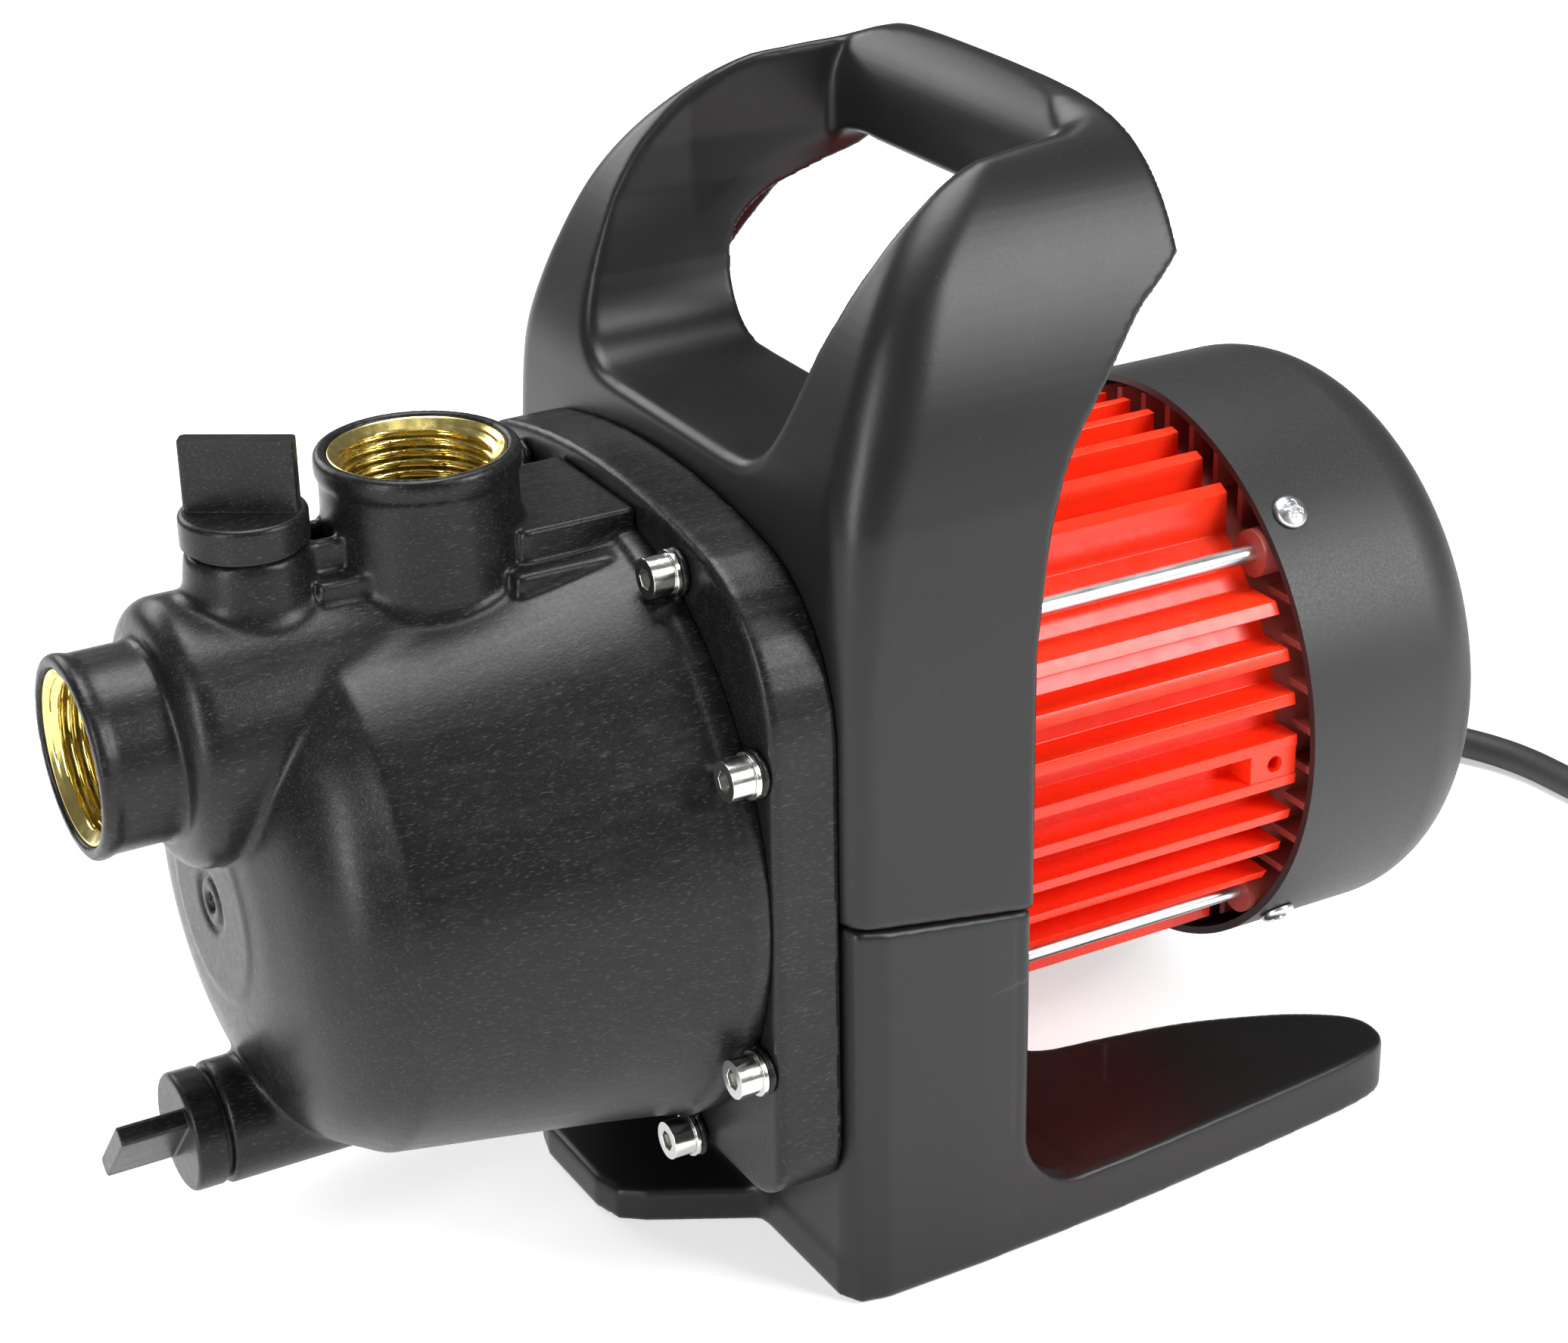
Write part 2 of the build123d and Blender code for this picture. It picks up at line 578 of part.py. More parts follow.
with BuildPart() as handle_shell:
    # side view: upright legs that sweep back into the grip
    with BuildSketch(Plane.XZ.offset(-80)):
        with BuildLine():
            Line((shell_front, 92.2), (shell_front, 158.0))
            Spline((shell_front, 158.0), (-34.4, 172.0), (-32.6, 184.0), (-27.0, 199.0), (-19.5, 213.5), (-11.0, 224.3), (0.0, 233.5),
                   (12.0, 240.8), (25.0, 246.0), (37.0, 247.8), (46.5, 246.6), tangents=((0, 1), (1, -0.18)))
            ThreePointArc((46.5, 246.6), (49.6, 244.9), (51.0, 241.0))
            Line((51.0, 241.0), (51.4, 219.0))
            Spline((51.4, 219.0), (44.5, 213.6), (37.6, 208.6), (28.2, 198.0), (18.4, 185.0), (13.0, 170.0), (leg_rear, 144.0),
                   tangents=((-1, -0.55), (0, -1)))
            Line((leg_rear, 144.0), (leg_rear, 85.2))
            Line((leg_rear, 85.2), (shell_front, 92.2))
        make_face()
    extrude(amount=160)
    with BuildSketch(FRONT_VIEW):
        with BuildLine():
            arch_line(0.0, 80.0)
        make_face()
    extrude(amount=130, mode=Mode.INTERSECT)
    # hand opening
    with BuildSketch(FRONT_VIEW):
        with BuildLine():
            Line((-31, deck_z), (31, deck_z))
            Spline((31, deck_z), (38.6, 182.5), (43.4, 192.0), (45.0, 203.0), (43.6, 214.0), (40.5, 219.0), (34.0, 221.3), (26.0, 221.6),
                   tangents=((1, 0), (-1, 0)))
            Line((26.0, 221.6), (-26.0, 221.6))
            Spline((-26.0, 221.6), (-34.0, 221.3), (-40.5, 219.0), (-43.6, 214.0), (-45.0, 203.0), (-43.4, 192.0), (-38.6, 182.5), (-31, deck_z),
                   tangents=((-1, 0), (1, 0)))
        make_face()
    extrude(amount=130, mode=Mode.SUBTRACT)
    # the grip is set back behind the legs' front edges
    with BuildSketch(Plane.XZ.offset(-42.5)):
        with BuildLine():
            Polyline((-40, 205), (33.0, 205), (33.0, 234.0))
            ThreePointArc((33.0, 234.0), (35.0, 241.0), (40.5, 247.0))
            Polyline((40.5, 247.0), (40.5, 262), (-40, 262), (-40, 205))
        make_face()
    extrude(amount=85, mode=Mode.SUBTRACT)
    add(rear_hollow.part, mode=Mode.SUBTRACT)
    # room for the motor, and a hollow body open at the back
    with BuildSketch(yz(-60)):
        Circle(shell_bore_r)
    extrude(amount=100, mode=Mode.SUBTRACT)
    with BuildSketch(Plane(origin=(shell_front + 4, 0, 0), x_dir=(0, 1, 0), z_dir=(1, 0, 0))):
        with BuildLine():
            Polyline((-half_w + 4, 88), (-half_w + 4, 165), (-60, 175), (60, 175), (half_w - 4, 165), (half_w - 4, 88), (-half_w + 4, 88))
        make_face()
    extrude(amount=60, mode=Mode.SUBTRACT)

# ---------------------------------------------------------------- base
foot_pts = [(-64.5, 12.0), (-64.5, -12.0), (-62.4, -19.5), (-57.5, -23.4), (-35.6, -35.6), (-35.0, -38.5), (-35.0, -69.5),
            (-32.0, -74.8), (-26.0, -76.0), (-2.0, -75.6), (18.7, -74.6), (39.7, -73.3), (61.9, -71.3), (89.7, -68.5),
            (108.0, -66.0), (116.0, -63.5), (119.4, -57.5), (118.4, -51.0), (110.0, -43.8), (99.0, -38.0), (81.0, -31.4),
            (61.0, -27.4), (46.0, -26.2), (40.5, -22.0), (38.5, -14.0)]
with BuildPart() as base_foot:
    with BuildSketch(Plane.XY):
        with BuildLine():
            Polyline(*foot_pts, *[(x, -y) for x, y in reversed(foot_pts)], foot_pts[0])
        make_face()
    extrude(amount=13.6)
    # the front tongue is lower than the skids
    with BuildSketch(Plane.XY.offset(8.6)):
        with Locations((-65, 0)):
            Rectangle(60, 160)
    extrude(amount=10, mode=Mode.SUBTRACT)
    # upright block that carries the motor
    with BuildSketch(Plane.XZ.offset(-half_w)):
        with BuildLine():
            Polyline((shell_front, 0), (shell_front, 91.6), (leg_rear, 84.6), (leg_rear, 22.0))
            ThreePointArc((leg_rear, 22.0), (12.2, 16.0), (18.2, 13.6))
            Polyline((18.2, 13.6), (18.2, 0), (shell_front, 0))
        make_face()
    extrude(amount=2 * half_w)
    with BuildSketch(yz(-60)):
        Circle(shell_bore_r)
    extrude(amount=100, mode=Mode.SUBTRACT)
    # hollow of the block, open at the back
    with BuildSketch(Plane(origin=(shell_front + 5, 0, 0), x_dir=(0, 1, 0), z_dir=(1, 0, 0))):
        with BuildLine():
            Polyline((-70, 13.6), (-70, 95), (70, 95), (70, 13.6), (-70, 13.6))
        make_face()
    extrude(amount=60, mode=Mode.SUBTRACT)
    # saddle ribs under the motor
    with BuildSketch(yz(shell_front + 5, 0)):
        with Locations((-34, 24), (34, 24)):
            Rectangle(5, 24)
    extrude(amount=34)
    with BuildSketch(yz(-60)):
        Circle(shell_bore_r)
    extrude(amount=100, mode=Mode.SUBTRACT)

with BuildPart() as shell_screws:
    for y in (-1, 1):
        with BuildSketch(Plane(origin=(-8, y * 71.9, 112), x_dir=(1, 0, 0), z_dir=(0, -y, 0))):
            Circle(4.5)
        extrude(amount=6.0)

# ---------------------------------------------------------------- connection box
bx0, bx1, by0, by1, bz0, bz1 = 18.0, 72.0, 59.6, 96.0, 71.0, 119.0
with BuildPart() as connection_box:
    with BuildSketch(Plane.XZ.offset(-by0)):
        with Locations(((bx0 + bx1) / 2, (bz0 + bz1) / 2)):
            RectangleRounded(bx1 - bx0, bz1 - bz0, 5)
    extrude(amount=-(by1 - by0))
    with BuildSketch(Plane.XZ.offset(-(by0 + 3))):
        with Locations(((bx0 + bx1) / 2, (bz0 + bz1) / 2)):
            RectangleRounded(bx1 - bx0 - 6, bz1 - bz0 - 6, 3)
    extrude(amount=-(by1 - by0), mode=Mode.SUBTRACT)
    with BuildSketch(yz(bx1 - 5, shaft_z, 80)):
        Circle(7.6)
    extrude(amount=8, mode=Mode.SUBTRACT)
    with BuildSketch(Plane.XZ.offset(-(by0 + 3))):
        with Locations((bx0 + 6.5, bz0 + 6.5), (bx1 - 6.5, bz0 + 6.5), (bx0 + 6.5, bz1 - 6.5), (bx1 - 6.5, bz1 - 6.5)):
            Circle(4.0)
    extrude(amount=-(by1 - by0 - 3))
    with BuildSketch(Plane.XZ.offset(-by1)):
        with Locations((bx0 + 6.5, bz0 + 6.5), (bx1 - 6.5, bz0 + 6.5), (bx0 + 6.5, bz1 - 6.5), (bx1 - 6.5, bz1 - 6.5)):
            Circle(1.62)
    extrude(amount=14, mode=Mode.SUBTRACT)

with BuildPart() as box_gasket:
    with BuildSketch(Plane.XZ.offset(-by1)):
        with Locations(((bx0 + bx1) / 2, (bz0 + bz1) / 2)):
            RectangleRounded(bx1 - bx0, bz1 - bz0, 5)
            RectangleRounded(bx1 - bx0 - 5, bz1 - bz0 - 5, 3, mode=Mode.SUBTRACT)
    extrude(amount=-1.2)

with BuildPart() as box_lid:
    with BuildSketch(Plane.XZ.offset(-(by1 + 1.2))):
        with Locations(((bx0 + bx1) / 2, (bz0 + bz1) / 2)):
            RectangleRounded(bx1 - bx0, bz1 - bz0, 5)
    extrude(amount=-4.0)
    fillet(box_lid.faces().sort_by(Axis.Y)[-1].edges(), radius=1.5)
    with BuildSketch(Plane.XZ.offset(-by1)):
        with Locations((bx0 + 6.5, bz0 + 6.5), (bx1 - 6.5, bz0 + 6.5), (bx0 + 6.5, bz1 - 6.5), (bx1 - 6.5, bz1 - 6.5)):
            Circle(1.7)
    extrude(amount=-8, mode=Mode.SUBTRACT)
    with BuildSketch(Plane.XZ.offset(-by1)):
        with Locations(((bx0 + bx1) / 2, shaft_z)):
            Rectangle(27.2, 12.2)
    extrude(amount=-8, mode=Mode.SUBTRACT)

with BuildPart() as box_screws:
    for x, z in ((bx0 + 6.5, bz0 + 6.5), (bx1 - 6.5, bz0 + 6.5), (bx0 + 6.5, bz1 - 6.5), (bx1 - 6.5, bz1 - 6.5)):
        with BuildSketch(Plane.XZ.offset(-(by1 + 5.25))):
            with Locations((x, z)):
                Circle(3.2)
        extrude(amount=-1.8)
        with BuildSketch(Plane.XZ.offset(-(by1 + 5.25))):
            with Locations((x, z)):
                Circle(1.6)
        extrude(amount=16)

with BuildPart() as switch_body:
    cx = (bx0 + bx1) / 2
    with BuildSketch(Plane.XZ.offset(-(by1 + 5.25))):
        with Locations((cx, shaft_z)):
            RectangleRounded(31, 16, 2)
    extrude(amount=-1.6)
    with BuildSketch(Plane.XZ.offset(-(by1 + 5.3))):
        with Locations((cx, shaft_z)):
            Rectangle(27.0, 12.0)
    extrude(amount=19)
    with BuildSketch(Plane.XZ.offset(-(by1 + 7.0))):
        with Locations((cx, shaft_z)):
            Rectangle(23.0, 9.6)
    extrude(amount=11, mode=Mode.SUBTRACT)

with BuildPart() as rocker:
    # pivots on an axis along Z, through (cx, by1 + 1)
    with BuildSketch(Plane.XY.offset(shaft_z - 4.4)):
        with BuildLine():
            Polyline((cx - 9.6, by1 + 10.2), (cx, by1 + 7.8), (cx + 9.6, by1 + 5.6), (cx + 8.8, by1 + 2.0), (cx + 3, by1 - 0.6),
                     (cx - 3, by1 - 0.6), (cx - 9.4, by1 + 3.4), (cx - 9.6, by1 + 10.2))
        make_face()
    extrude(amount=8.8)

with BuildPart() as terminal_block:
    with BuildSketch(Plane.XZ.offset(-(by0 + 3))):
        with Locations((54.5, 88.0)):
            Rectangle(14, 9)
    extrude(amount=-11)

with BuildPart() as capacitor:
    with BuildSketch(yz(28.5, 106.0, 71.5)):
        Circle(8.0)
    extrude(amount=32)

# cable gland on the box's rear wall
gland_y = 80.0
with BuildPart() as gland_body:
    with BuildSketch(yz(bx1 - 4.5, shaft_z, gland_y)):
        Circle(7.5)
    extrude(amount=5.0)
    with BuildSketch(yz(bx1 + 0.05, shaft_z, gland_y)):
        RegularPolygon(11.0, 6)
    extrude(amount=5.0)
    with BuildSketch(yz(bx1 + 5.0, shaft_z, gland_y)):
        Circle(7.8)
    extrude(amount=7.0)
    with BuildSketch(yz(bx1 - 6, shaft_z, gland_y)):
        Circle(5.2)
    extrude(amount=20, mode=Mode.SUBTRACT)

with BuildPart() as gland_nut:
    with BuildSketch(yz(bx1 + 5.4, shaft_z, gland_y)):
        RegularPolygon(10.4, 6)
        Circle(7.85, mode=Mode.SUBTRACT)
    extrude(amount=7.4)
    with BuildSketch(yz(bx1 + 12.8, shaft_z, gland_y)):
        Circle(8.6)
        Circle(cord_r + 0.05, mode=Mode.SUBTRACT)
    extrude(amount=4.2)

# ---------------------------------------------------------------- cord
# 1.5 m in all: out of the gland, down to the ground, across behind the pump,
# then four turns of a flat coil, two side by side in two layers, and the plug.
exit_x = bx1 + 17.0
coil_x, coil_y = 322.0, -42.0
route = [(exit_x, gland_y, 95.0), (109.0, 80.0, 94.6), (130.0, 80.6, 90.0), (149.0, 81.6, 78.0), (163.0, 82.6, 60.0),
         (175.0, 83.6, 40.5), (189.8, 84.4, 22.3), (209.9, 85.7, 11.8), (229.3, 80.0, 7.0), (245.4, 67.1, 5.2),
         (255.0, 48.7, 4.3), (256.5, 26.5, 4.3), (258.5, 2.0, 4.3), (270.0, -19.5, 4.3)]


def corner_radii(pts):
    vs = [Vector(*p) for p in pts]
    out = []
    for a, b, c in zip(vs, vs[1:], vs[2:]):
        turn = math.radians((b - a).get_angle(c - b))
        out.append(0.45 * min((b - a).length, (c - b).length) / math.tan(turn / 2))
    return out


radii = corner_radii(route)
with BuildPart() as power_cord:
    with BuildLine() as cord_line:
        FilletPolyline(*route, radius=radii)
    with BuildSketch(Plane(origin=route[0], x_dir=(0, 1, 0), z_dir=Vector(*route[1]) - Vector(*route[0]))):
        Circle(cord_r)
    sweep()
cord_len = cord_line.wire().length
coil_len = 2 * 2 * math.pi * (coil_r1 + coil_r2)
print("cord radii", [round(r, 1) for r in radii])
print("tube", round(cord_len, 1), "coil", round(coil_len, 1), "volume ratio",
      round(power_cord.part.volume / (math.pi * cord_r ** 2 * cord_len), 4))

with BuildPart() as cord_coil:
    with BuildSketch(Plane.XY.offset(0.05)):
        with Locations((coil_x, coil_y)):
            Circle(coil_r2 + cord_r)
            Circle(coil_r1 - cord_r, mode=Mode.SUBTRACT)
    extrude(amount=2 * cord_d)
    fillet(cord_coil.edges().filter_by(GeomType.CIRCLE), radius=3.0)

# angled two-pin earthed mains plug, lying on its back beside the coil
plug_x, plug_y = coil_x + coil_r2, coil_y + 76.0
with BuildPart() as mains_plug:
    with BuildSketch(Plane.XY.offset(0.05)):
        with Locations((plug_x, plug_y)):
            Circle(18.4)
    extrude(amount=24.0)
    fillet(mains_plug.faces().sort_by(Axis.Z)[0].edges(), radius=4.0)
    with BuildSketch(Plane(origin=(plug_x, plug_y - 12, 8.0), x_dir=(1, 0, 0), z_dir=(0, -1, 0))):
        Circle(7.0)
    with BuildSketch(Plane(origin=(plug_x, plug_y - 48, 9.0), x_dir=(1, 0, 0), z_dir=(0, -1, 0))):
        Circle(5.2)
    loft()
    with BuildSketch(Plane.XY.offset(24.05)):
        with Locations((plug_x, plug_y - 16.6), (plug_x, plug_y + 16.6)):
            Rectangle(9.0, 5.0)
    extrude(amount=-14, mode=Mode.SUBTRACT)

with BuildPart() as plug_pins:
    for dx in (-9.5, 9.5):
        with BuildSketch(Plane.XY.offset(24.05)):
            with Locations((plug_x + dx, plug_y)):
                Circle(2.4)
        extrude(amount=19.0)
    chamfer(plug_pins.faces().sort_by(Axis.Z)[-2:].edges(), length=0.9)

for name in ("pump_casing suction_insert outlet_insert filler_plug filler_oring drain_plug drain_oring bracket_ring casing_seal "
             "casing_screws casing_washers ejector diffuser impeller impeller_nut seal_rotating seal_seat rotor_shaft rotor_core "
             "cooling_fan front_end_shield front_bearing motor_housing stator_core windings rear_end_shield rear_bearing tie_rods "
             "tie_rod_nuts fan_cover cover_screws handle_shell base_foot shell_screws connection_box box_gasket box_lid box_screws "
             "switch_body rocker terminal_block capacitor gland_body gland_nut power_cord cord_coil mains_plug plug_pins").split():
    piece = globals()[name].part
    piece.label = name
    export_step(piece, "parts/%s.step" % name)
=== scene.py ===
import math

import bpy
import numpy as np
from mathutils import Matrix, Vector


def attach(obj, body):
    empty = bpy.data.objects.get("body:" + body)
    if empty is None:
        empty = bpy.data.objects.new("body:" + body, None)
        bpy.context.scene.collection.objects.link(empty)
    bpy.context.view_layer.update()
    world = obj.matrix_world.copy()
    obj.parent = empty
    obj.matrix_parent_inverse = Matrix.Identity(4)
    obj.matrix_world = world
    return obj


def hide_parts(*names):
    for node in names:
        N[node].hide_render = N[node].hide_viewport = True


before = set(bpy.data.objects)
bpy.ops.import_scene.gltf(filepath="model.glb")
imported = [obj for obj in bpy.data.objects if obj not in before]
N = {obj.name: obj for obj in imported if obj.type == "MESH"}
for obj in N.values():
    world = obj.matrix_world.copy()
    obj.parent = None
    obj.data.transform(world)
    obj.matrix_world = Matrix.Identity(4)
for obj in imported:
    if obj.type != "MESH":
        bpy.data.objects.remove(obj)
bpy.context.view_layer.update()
MM = 0.001
AX = 95.0                      # shaft height, mm

# ------------------------------------------------------------------ camera
cam_data = bpy.data.cameras.new("camera")
cam_data.sensor_width = 36.0
cam_data.sensor_fit = "HORIZONTAL"
cam_data.lens = 4407.8 / 2072 * 36.0
cam_data.shift_x = (1036.0 - 1026.1) / 2072
cam_data.shift_y = (937.0 - 887.5) / 2072
cam_data.clip_start, cam_data.clip_end = 0.05, 50.0
cam = bpy.data.objects.new("camera", cam_data)
bpy.context.scene.collection.objects.link(cam)
right = Vector((0.87124901, -0.49046763, -0.01914873))
down = Vector((-0.22655554, -0.36722477, -0.90211893))
fwd = Vector((0.43542824, 0.79030847, -0.43106237))
cam.matrix_world = Matrix((
    (right.x, -down.x, -fwd.x, -0.33018),
    (right.y, -down.y, -fwd.y, -0.58311),
    (right.z, -down.z, -fwd.z, 0.42351),
    (0, 0, 0, 1)))
bpy.context.scene.camera = cam
bpy.context.scene.view_settings.view_transform = "Standard"
bpy.context.scene.view_settings.look = "None"

# ------------------------------------------------------------------ materials
MATS = {}


class Graph:
    """Short names for building a node tree."""

    def __init__(self, name):
        self.m = bpy.data.materials.new(name)
        self.m.use_nodes = True
        self.t = self.m.node_tree
        self.t.nodes.clear()
        self.out = self.t.nodes.new("ShaderNodeOutputMaterial")
        self.b = self.t.nodes.new("ShaderNodeBsdfPrincipled")
        self.t.links.new(self.b.outputs[0], self.out.inputs[0])
        self.geo = self.t.nodes.new("ShaderNodeTexCoord")
        self.pos = self.geo.outputs["Object"]
        MATS[name] = self.m

    def link(self, a, b):
        self.t.links.new(a, b)

    def scaled(self, sx, sy, sz, rot=(0, 0, 0)):
        n = self.t.nodes.new("ShaderNodeMapping")
        n.inputs["Scale"].default_value = (sx, sy, sz)
        n.inputs["Rotation"].default_value = rot
        self.link(self.pos, n.inputs[0])
        return n.outputs[0]

    def noise(self, scale, detail=3.0, rough=0.5, vec=None, dist=0.0):
        n = self.t.nodes.new("ShaderNodeTexNoise")
        n.inputs["Scale"].default_value = scale
        n.inputs["Detail"].default_value = detail
        n.inputs["Roughness"].default_value = rough
        n.inputs["Distortion"].default_value = dist
        self.link(vec or self.pos, n.inputs["Vector"])
        return n.outputs["Fac"]

    def voronoi(self, scale, feature="F1", vec=None, out="Distance"):
        n = self.t.nodes.new("ShaderNodeTexVoronoi")
        n.feature = feature
        n.inputs["Scale"].default_value = scale
        self.link(vec or self.pos, n.inputs["Vector"])
        return n.outputs[out]

    def ramp(self, fac, stops):
        n = self.t.nodes.new("ShaderNodeValToRGB")
        cr = n.color_ramp
        while len(cr.elements) < len(stops):
            cr.elements.new(0.5)
        for e, (p, c) in zip(cr.elements, stops):
            e.position = p
            e.color = (*c, 1) if isinstance(c, tuple) else (c, c, c, 1)
        self.link(fac, n.inputs[0])
        return n.outputs[0]

    def mix(self, fac, a, b, mode="MIX"):
        n = self.t.nodes.new("ShaderNodeMix")
        n.data_type = "RGBA"
        n.blend_type = mode
        for k, sock, v in ((0, n.inputs[0], fac), (1, n.inputs[6], a), (2, n.inputs[7], b)):
            if isinstance(v, (int, float)):
                sock.default_value = v if k == 0 else (v, v, v, 1)
            elif isinstance(v, tuple):
                sock.default_value = (*v, 1)
            else:
                self.link(v, sock)
        return n.outputs[2]

    def math(self, op, a, b=0.0, c=0.0, clamp=False):
        n = self.t.nodes.new("ShaderNodeMath")
        n.operation = op
        n.use_clamp = clamp
        for sock, v in zip(n.inputs, (a, b, c)):
            if isinstance(v, (int, float)):
                sock.default_value = v
            else:
                self.link(v, sock)
        return n.outputs[0]

    def bump(self, height, strength, dist, normal=None):
        n = self.t.nodes.new("ShaderNodeBump")
        n.inputs["Strength"].default_value = strength
        n.inputs["Distance"].default_value = dist
        self.link(height, n.inputs["Height"])
        if normal is not None:
            self.link(normal, n.inputs["Normal"])
        return n.outputs[0]

    def pointiness(self, lo, hi):
        n = self.t.nodes.new("ShaderNodeNewGeometry")
        return self.ramp(n.outputs["Pointiness"], [(lo, 0.0), (hi, 1.0)])

    def set(self, **kw):
        for k, v in kw.items():
            s = self.b.inputs[k.replace("_", " ")]
            if isinstance(v, (int, float)):
                s.default_value = v
            elif isinstance(v, tuple):
                s.default_value = (*v, 1) if len(v) == 3 else v
            else:
                self.link(v, s)


def plastic_filled():
    """Black glass-filled nylon: fine pale fibre speckle and faint flow streaks."""
    g = Graph("glass_filled_plastic")
    streak = g.noise(220, 4, 0.6, g.scaled(0.35, 1.6, 1.6, (0.25, 0.35, 0.2)), 0.6)
    speck = g.noise(1500, 2, 0.7)
    cloud = g.noise(28, 4, 0.55)
    fibre = g.noise(2600, 1, 0.5, g.scaled(0.22, 1.0, 1.0, (0.3, 0.5, 0.1)))
    base = g.ramp(cloud, [(0.3, (0.0045, 0.0046, 0.0048)), (0.75, (0.0085, 0.0086, 0.0088))])
    base = g.mix(g.ramp(streak, [(0.52, 0.0), (0.78, 0.5)]), base, (0.020, 0.020, 0.020))
    base = g.mix(g.ramp(fibre, [(0.58, 0.0), (0.78, 0.7)]), base, (0.050, 0.050, 0.048))
    rough = g.ramp(g.mix(0.5, streak, speck), [(0.30, 0.27), (0.75, 0.45)])
    h = g.mix(0.45, speck, streak)
    g.set(Base_Color=base, Roughness=rough, Normal=g.bump(h, 0.30, 0.00022), IOR=1.5)
    g.b.inputs["Specular IOR Level"].default_value = 0.27
    return g.m


def plastic_shell():
    """Satin black polypropylene of the handle and foot, with dust and light scuffs."""
    g = Graph("shell_plastic")
    cloud = g.noise(16, 5, 0.55)
    fine = g.noise(1900, 2, 0.6)
    base = g.ramp(cloud, [(0.3, (0.0078, 0.0077, 0.0079)), (0.72, (0.0118, 0.0116, 0.0115))])
    scr = g.voronoi(34, "DISTANCE_TO_EDGE", g.scaled(0.25, 1.0, 1.4, (0.7, 0.2, 0.9)))
    gate = g.noise(22, 3, 0.5)
    scratch = g.math("MULTIPLY", g.ramp(scr, [(0.0, 1.0), (0.006, 0.0)]), g.ramp(gate, [(0.62, 0.0), (0.70, 1.0)]))
    dust = g.math("MULTIPLY", g.ramp(g.voronoi(430), [(0.035, 1.0), (0.075, 0.0)]), g.ramp(g.noise(60, 2), [(0.55, 0.0), (0.62, 1.0)]))
    base = g.mix(g.math("MULTIPLY", scratch, 0.35), base, (0.075, 0.075, 0.075))
    base = g.mix(g.math("MULTIPLY", dust, 0.4), base, (0.11, 0.11, 0.11))
    rough = g.ramp(g.mix(0.35, cloud, fine), [(0.28, 0.31), (0.72, 0.42)])
    g.set(Base_Color=base, Roughness=rough, Normal=g.bump(fine, 0.10, 0.00012), IOR=1.49)
    g.b.inputs["Specular IOR Level"].default_value = 0.34
    return g.m


def plastic_cover():
    """Dark matt grey fan cover with a fine sand texture."""
    g = Graph("cover_plastic")
    grain = g.noise(1700, 3, 0.65)
    cloud = g.noise(14, 4, 0.5)
    base = g.ramp(cloud, [(0.3, (0.0125, 0.0130, 0.0138)), (0.75, (0.0185, 0.0188, 0.0196))])
    base = g.mix(g.ramp(grain, [(0.58, 0.0), (0.78, 0.30)]), base, (0.05, 0.05, 0.05))
    rough = g.ramp(grain, [(0.3, 0.42), (0.8, 0.58)])
    g.set(Base_Color=base, Roughness=rough, Normal=g.bump(grain, 0.16, 0.00016), IOR=1.49)
    return g.m


def plastic_moulded():
    """Plain black moulding: connection box, gland, switch."""
    g = Graph("moulded_plastic")
    grain = g.noise(1400, 3, 0.6)
    base = g.ramp(g.noise(20, 4), [(0.3, (0.013, 0.013, 0.014)), (0.75, (0.022, 0.022, 0.022))])
    g.set(Base_Color=base, Roughness=g.ramp(grain, [(0.3, 0.36), (0.8, 0.52)]), Normal=g.bump(grain, 0.12, 0.00015))
    return g.m


def enamel():
    """Glossy red stove enamel on ribbed aluminium."""
    g = Graph("red_enamel")
    orange = g.noise(240, 2, 0.45)
    cloud = g.noise(26, 4, 0.5)
    base = g.ramp(cloud, [(0.25, (0.84, 0.026, 0.006)), (0.78, (0.94, 0.040, 0.009))])
    g.set(Base_Color=base, Roughness=g.ramp(orange, [(0.3, 0.24), (0.75, 0.34)]), Normal=g.bump(orange, 0.10, 0.00035))
    g.b.inputs["Specular IOR Level"].default_value = 0.3
    g.b.inputs["Coat Weight"].default_value = 0.12
    g.b.inputs["Coat Roughness"].default_value = 0.12
    return g.m


def metal(name, color, r0, r1, brushed=(1, 1, 1), scale=260, bump=0.05, tint=None):
    g = Graph(name)
    n = g.noise(scale, 4, 0.6, g.scaled(*brushed))
    cloud = g.noise(60, 4, 0.5)
    base = g.mix(g.ramp(cloud, [(0.35, 0.0), (0.8, 0.35)]), color, tint or tuple(c * 0.78 for c in color))
    g.set(Base_Color=base, Roughness=g.ramp(n, [(0.3, r0), (0.75, r1)]), Normal=g.bump(n, bump, 0.0001))
    g.b.inputs["Metallic"].default_value = 1.0
    return g.m


def cast():
    """Sand-textured die-cast alloy of the red-painted end shields. Its colour is a darker, greyer red than the enamel:
    painted shade, as the red fins look in the shadow under the fan cover.
    """
    g = Graph("cast_alloy")
    n = g.noise(700, 4, 0.65)
    cloud = g.noise(50, 4, 0.5)
    # painted shade: a darkened, greyer copy of the red paint
    base = g.ramp(cloud, [(0.3, (0.30, 0.045, 0.035)), (0.75, (0.40, 0.08, 0.065))])
    g.set(Base_Color=base, Roughness=g.ramp(n, [(0.3, 0.38), (0.8, 0.55)]), Normal=g.bump(n, 0.25, 0.0002))
    return g.m


def laminated():
    g = Graph("lamination")
    w = g.t.nodes.new("ShaderNodeTexWave")
    w.bands_direction = "X"
    w.inputs["Scale"].default_value = 320
    w.inputs["Distortion"].default_value = 0.4
    g.link(g.pos, w.inputs["Vector"])
    g.set(Base_Color=g.ramp(w.outputs["Fac"], [(0.3, (0.11, 0.11, 0.12)), (0.7, (0.30, 0.30, 0.31))]), Roughness=0.5,
          Normal=g.bump(w.outputs["Fac"], 0.4, 0.0002))
    g.b.inputs["Metallic"].default_value = 0.8
    return g.m


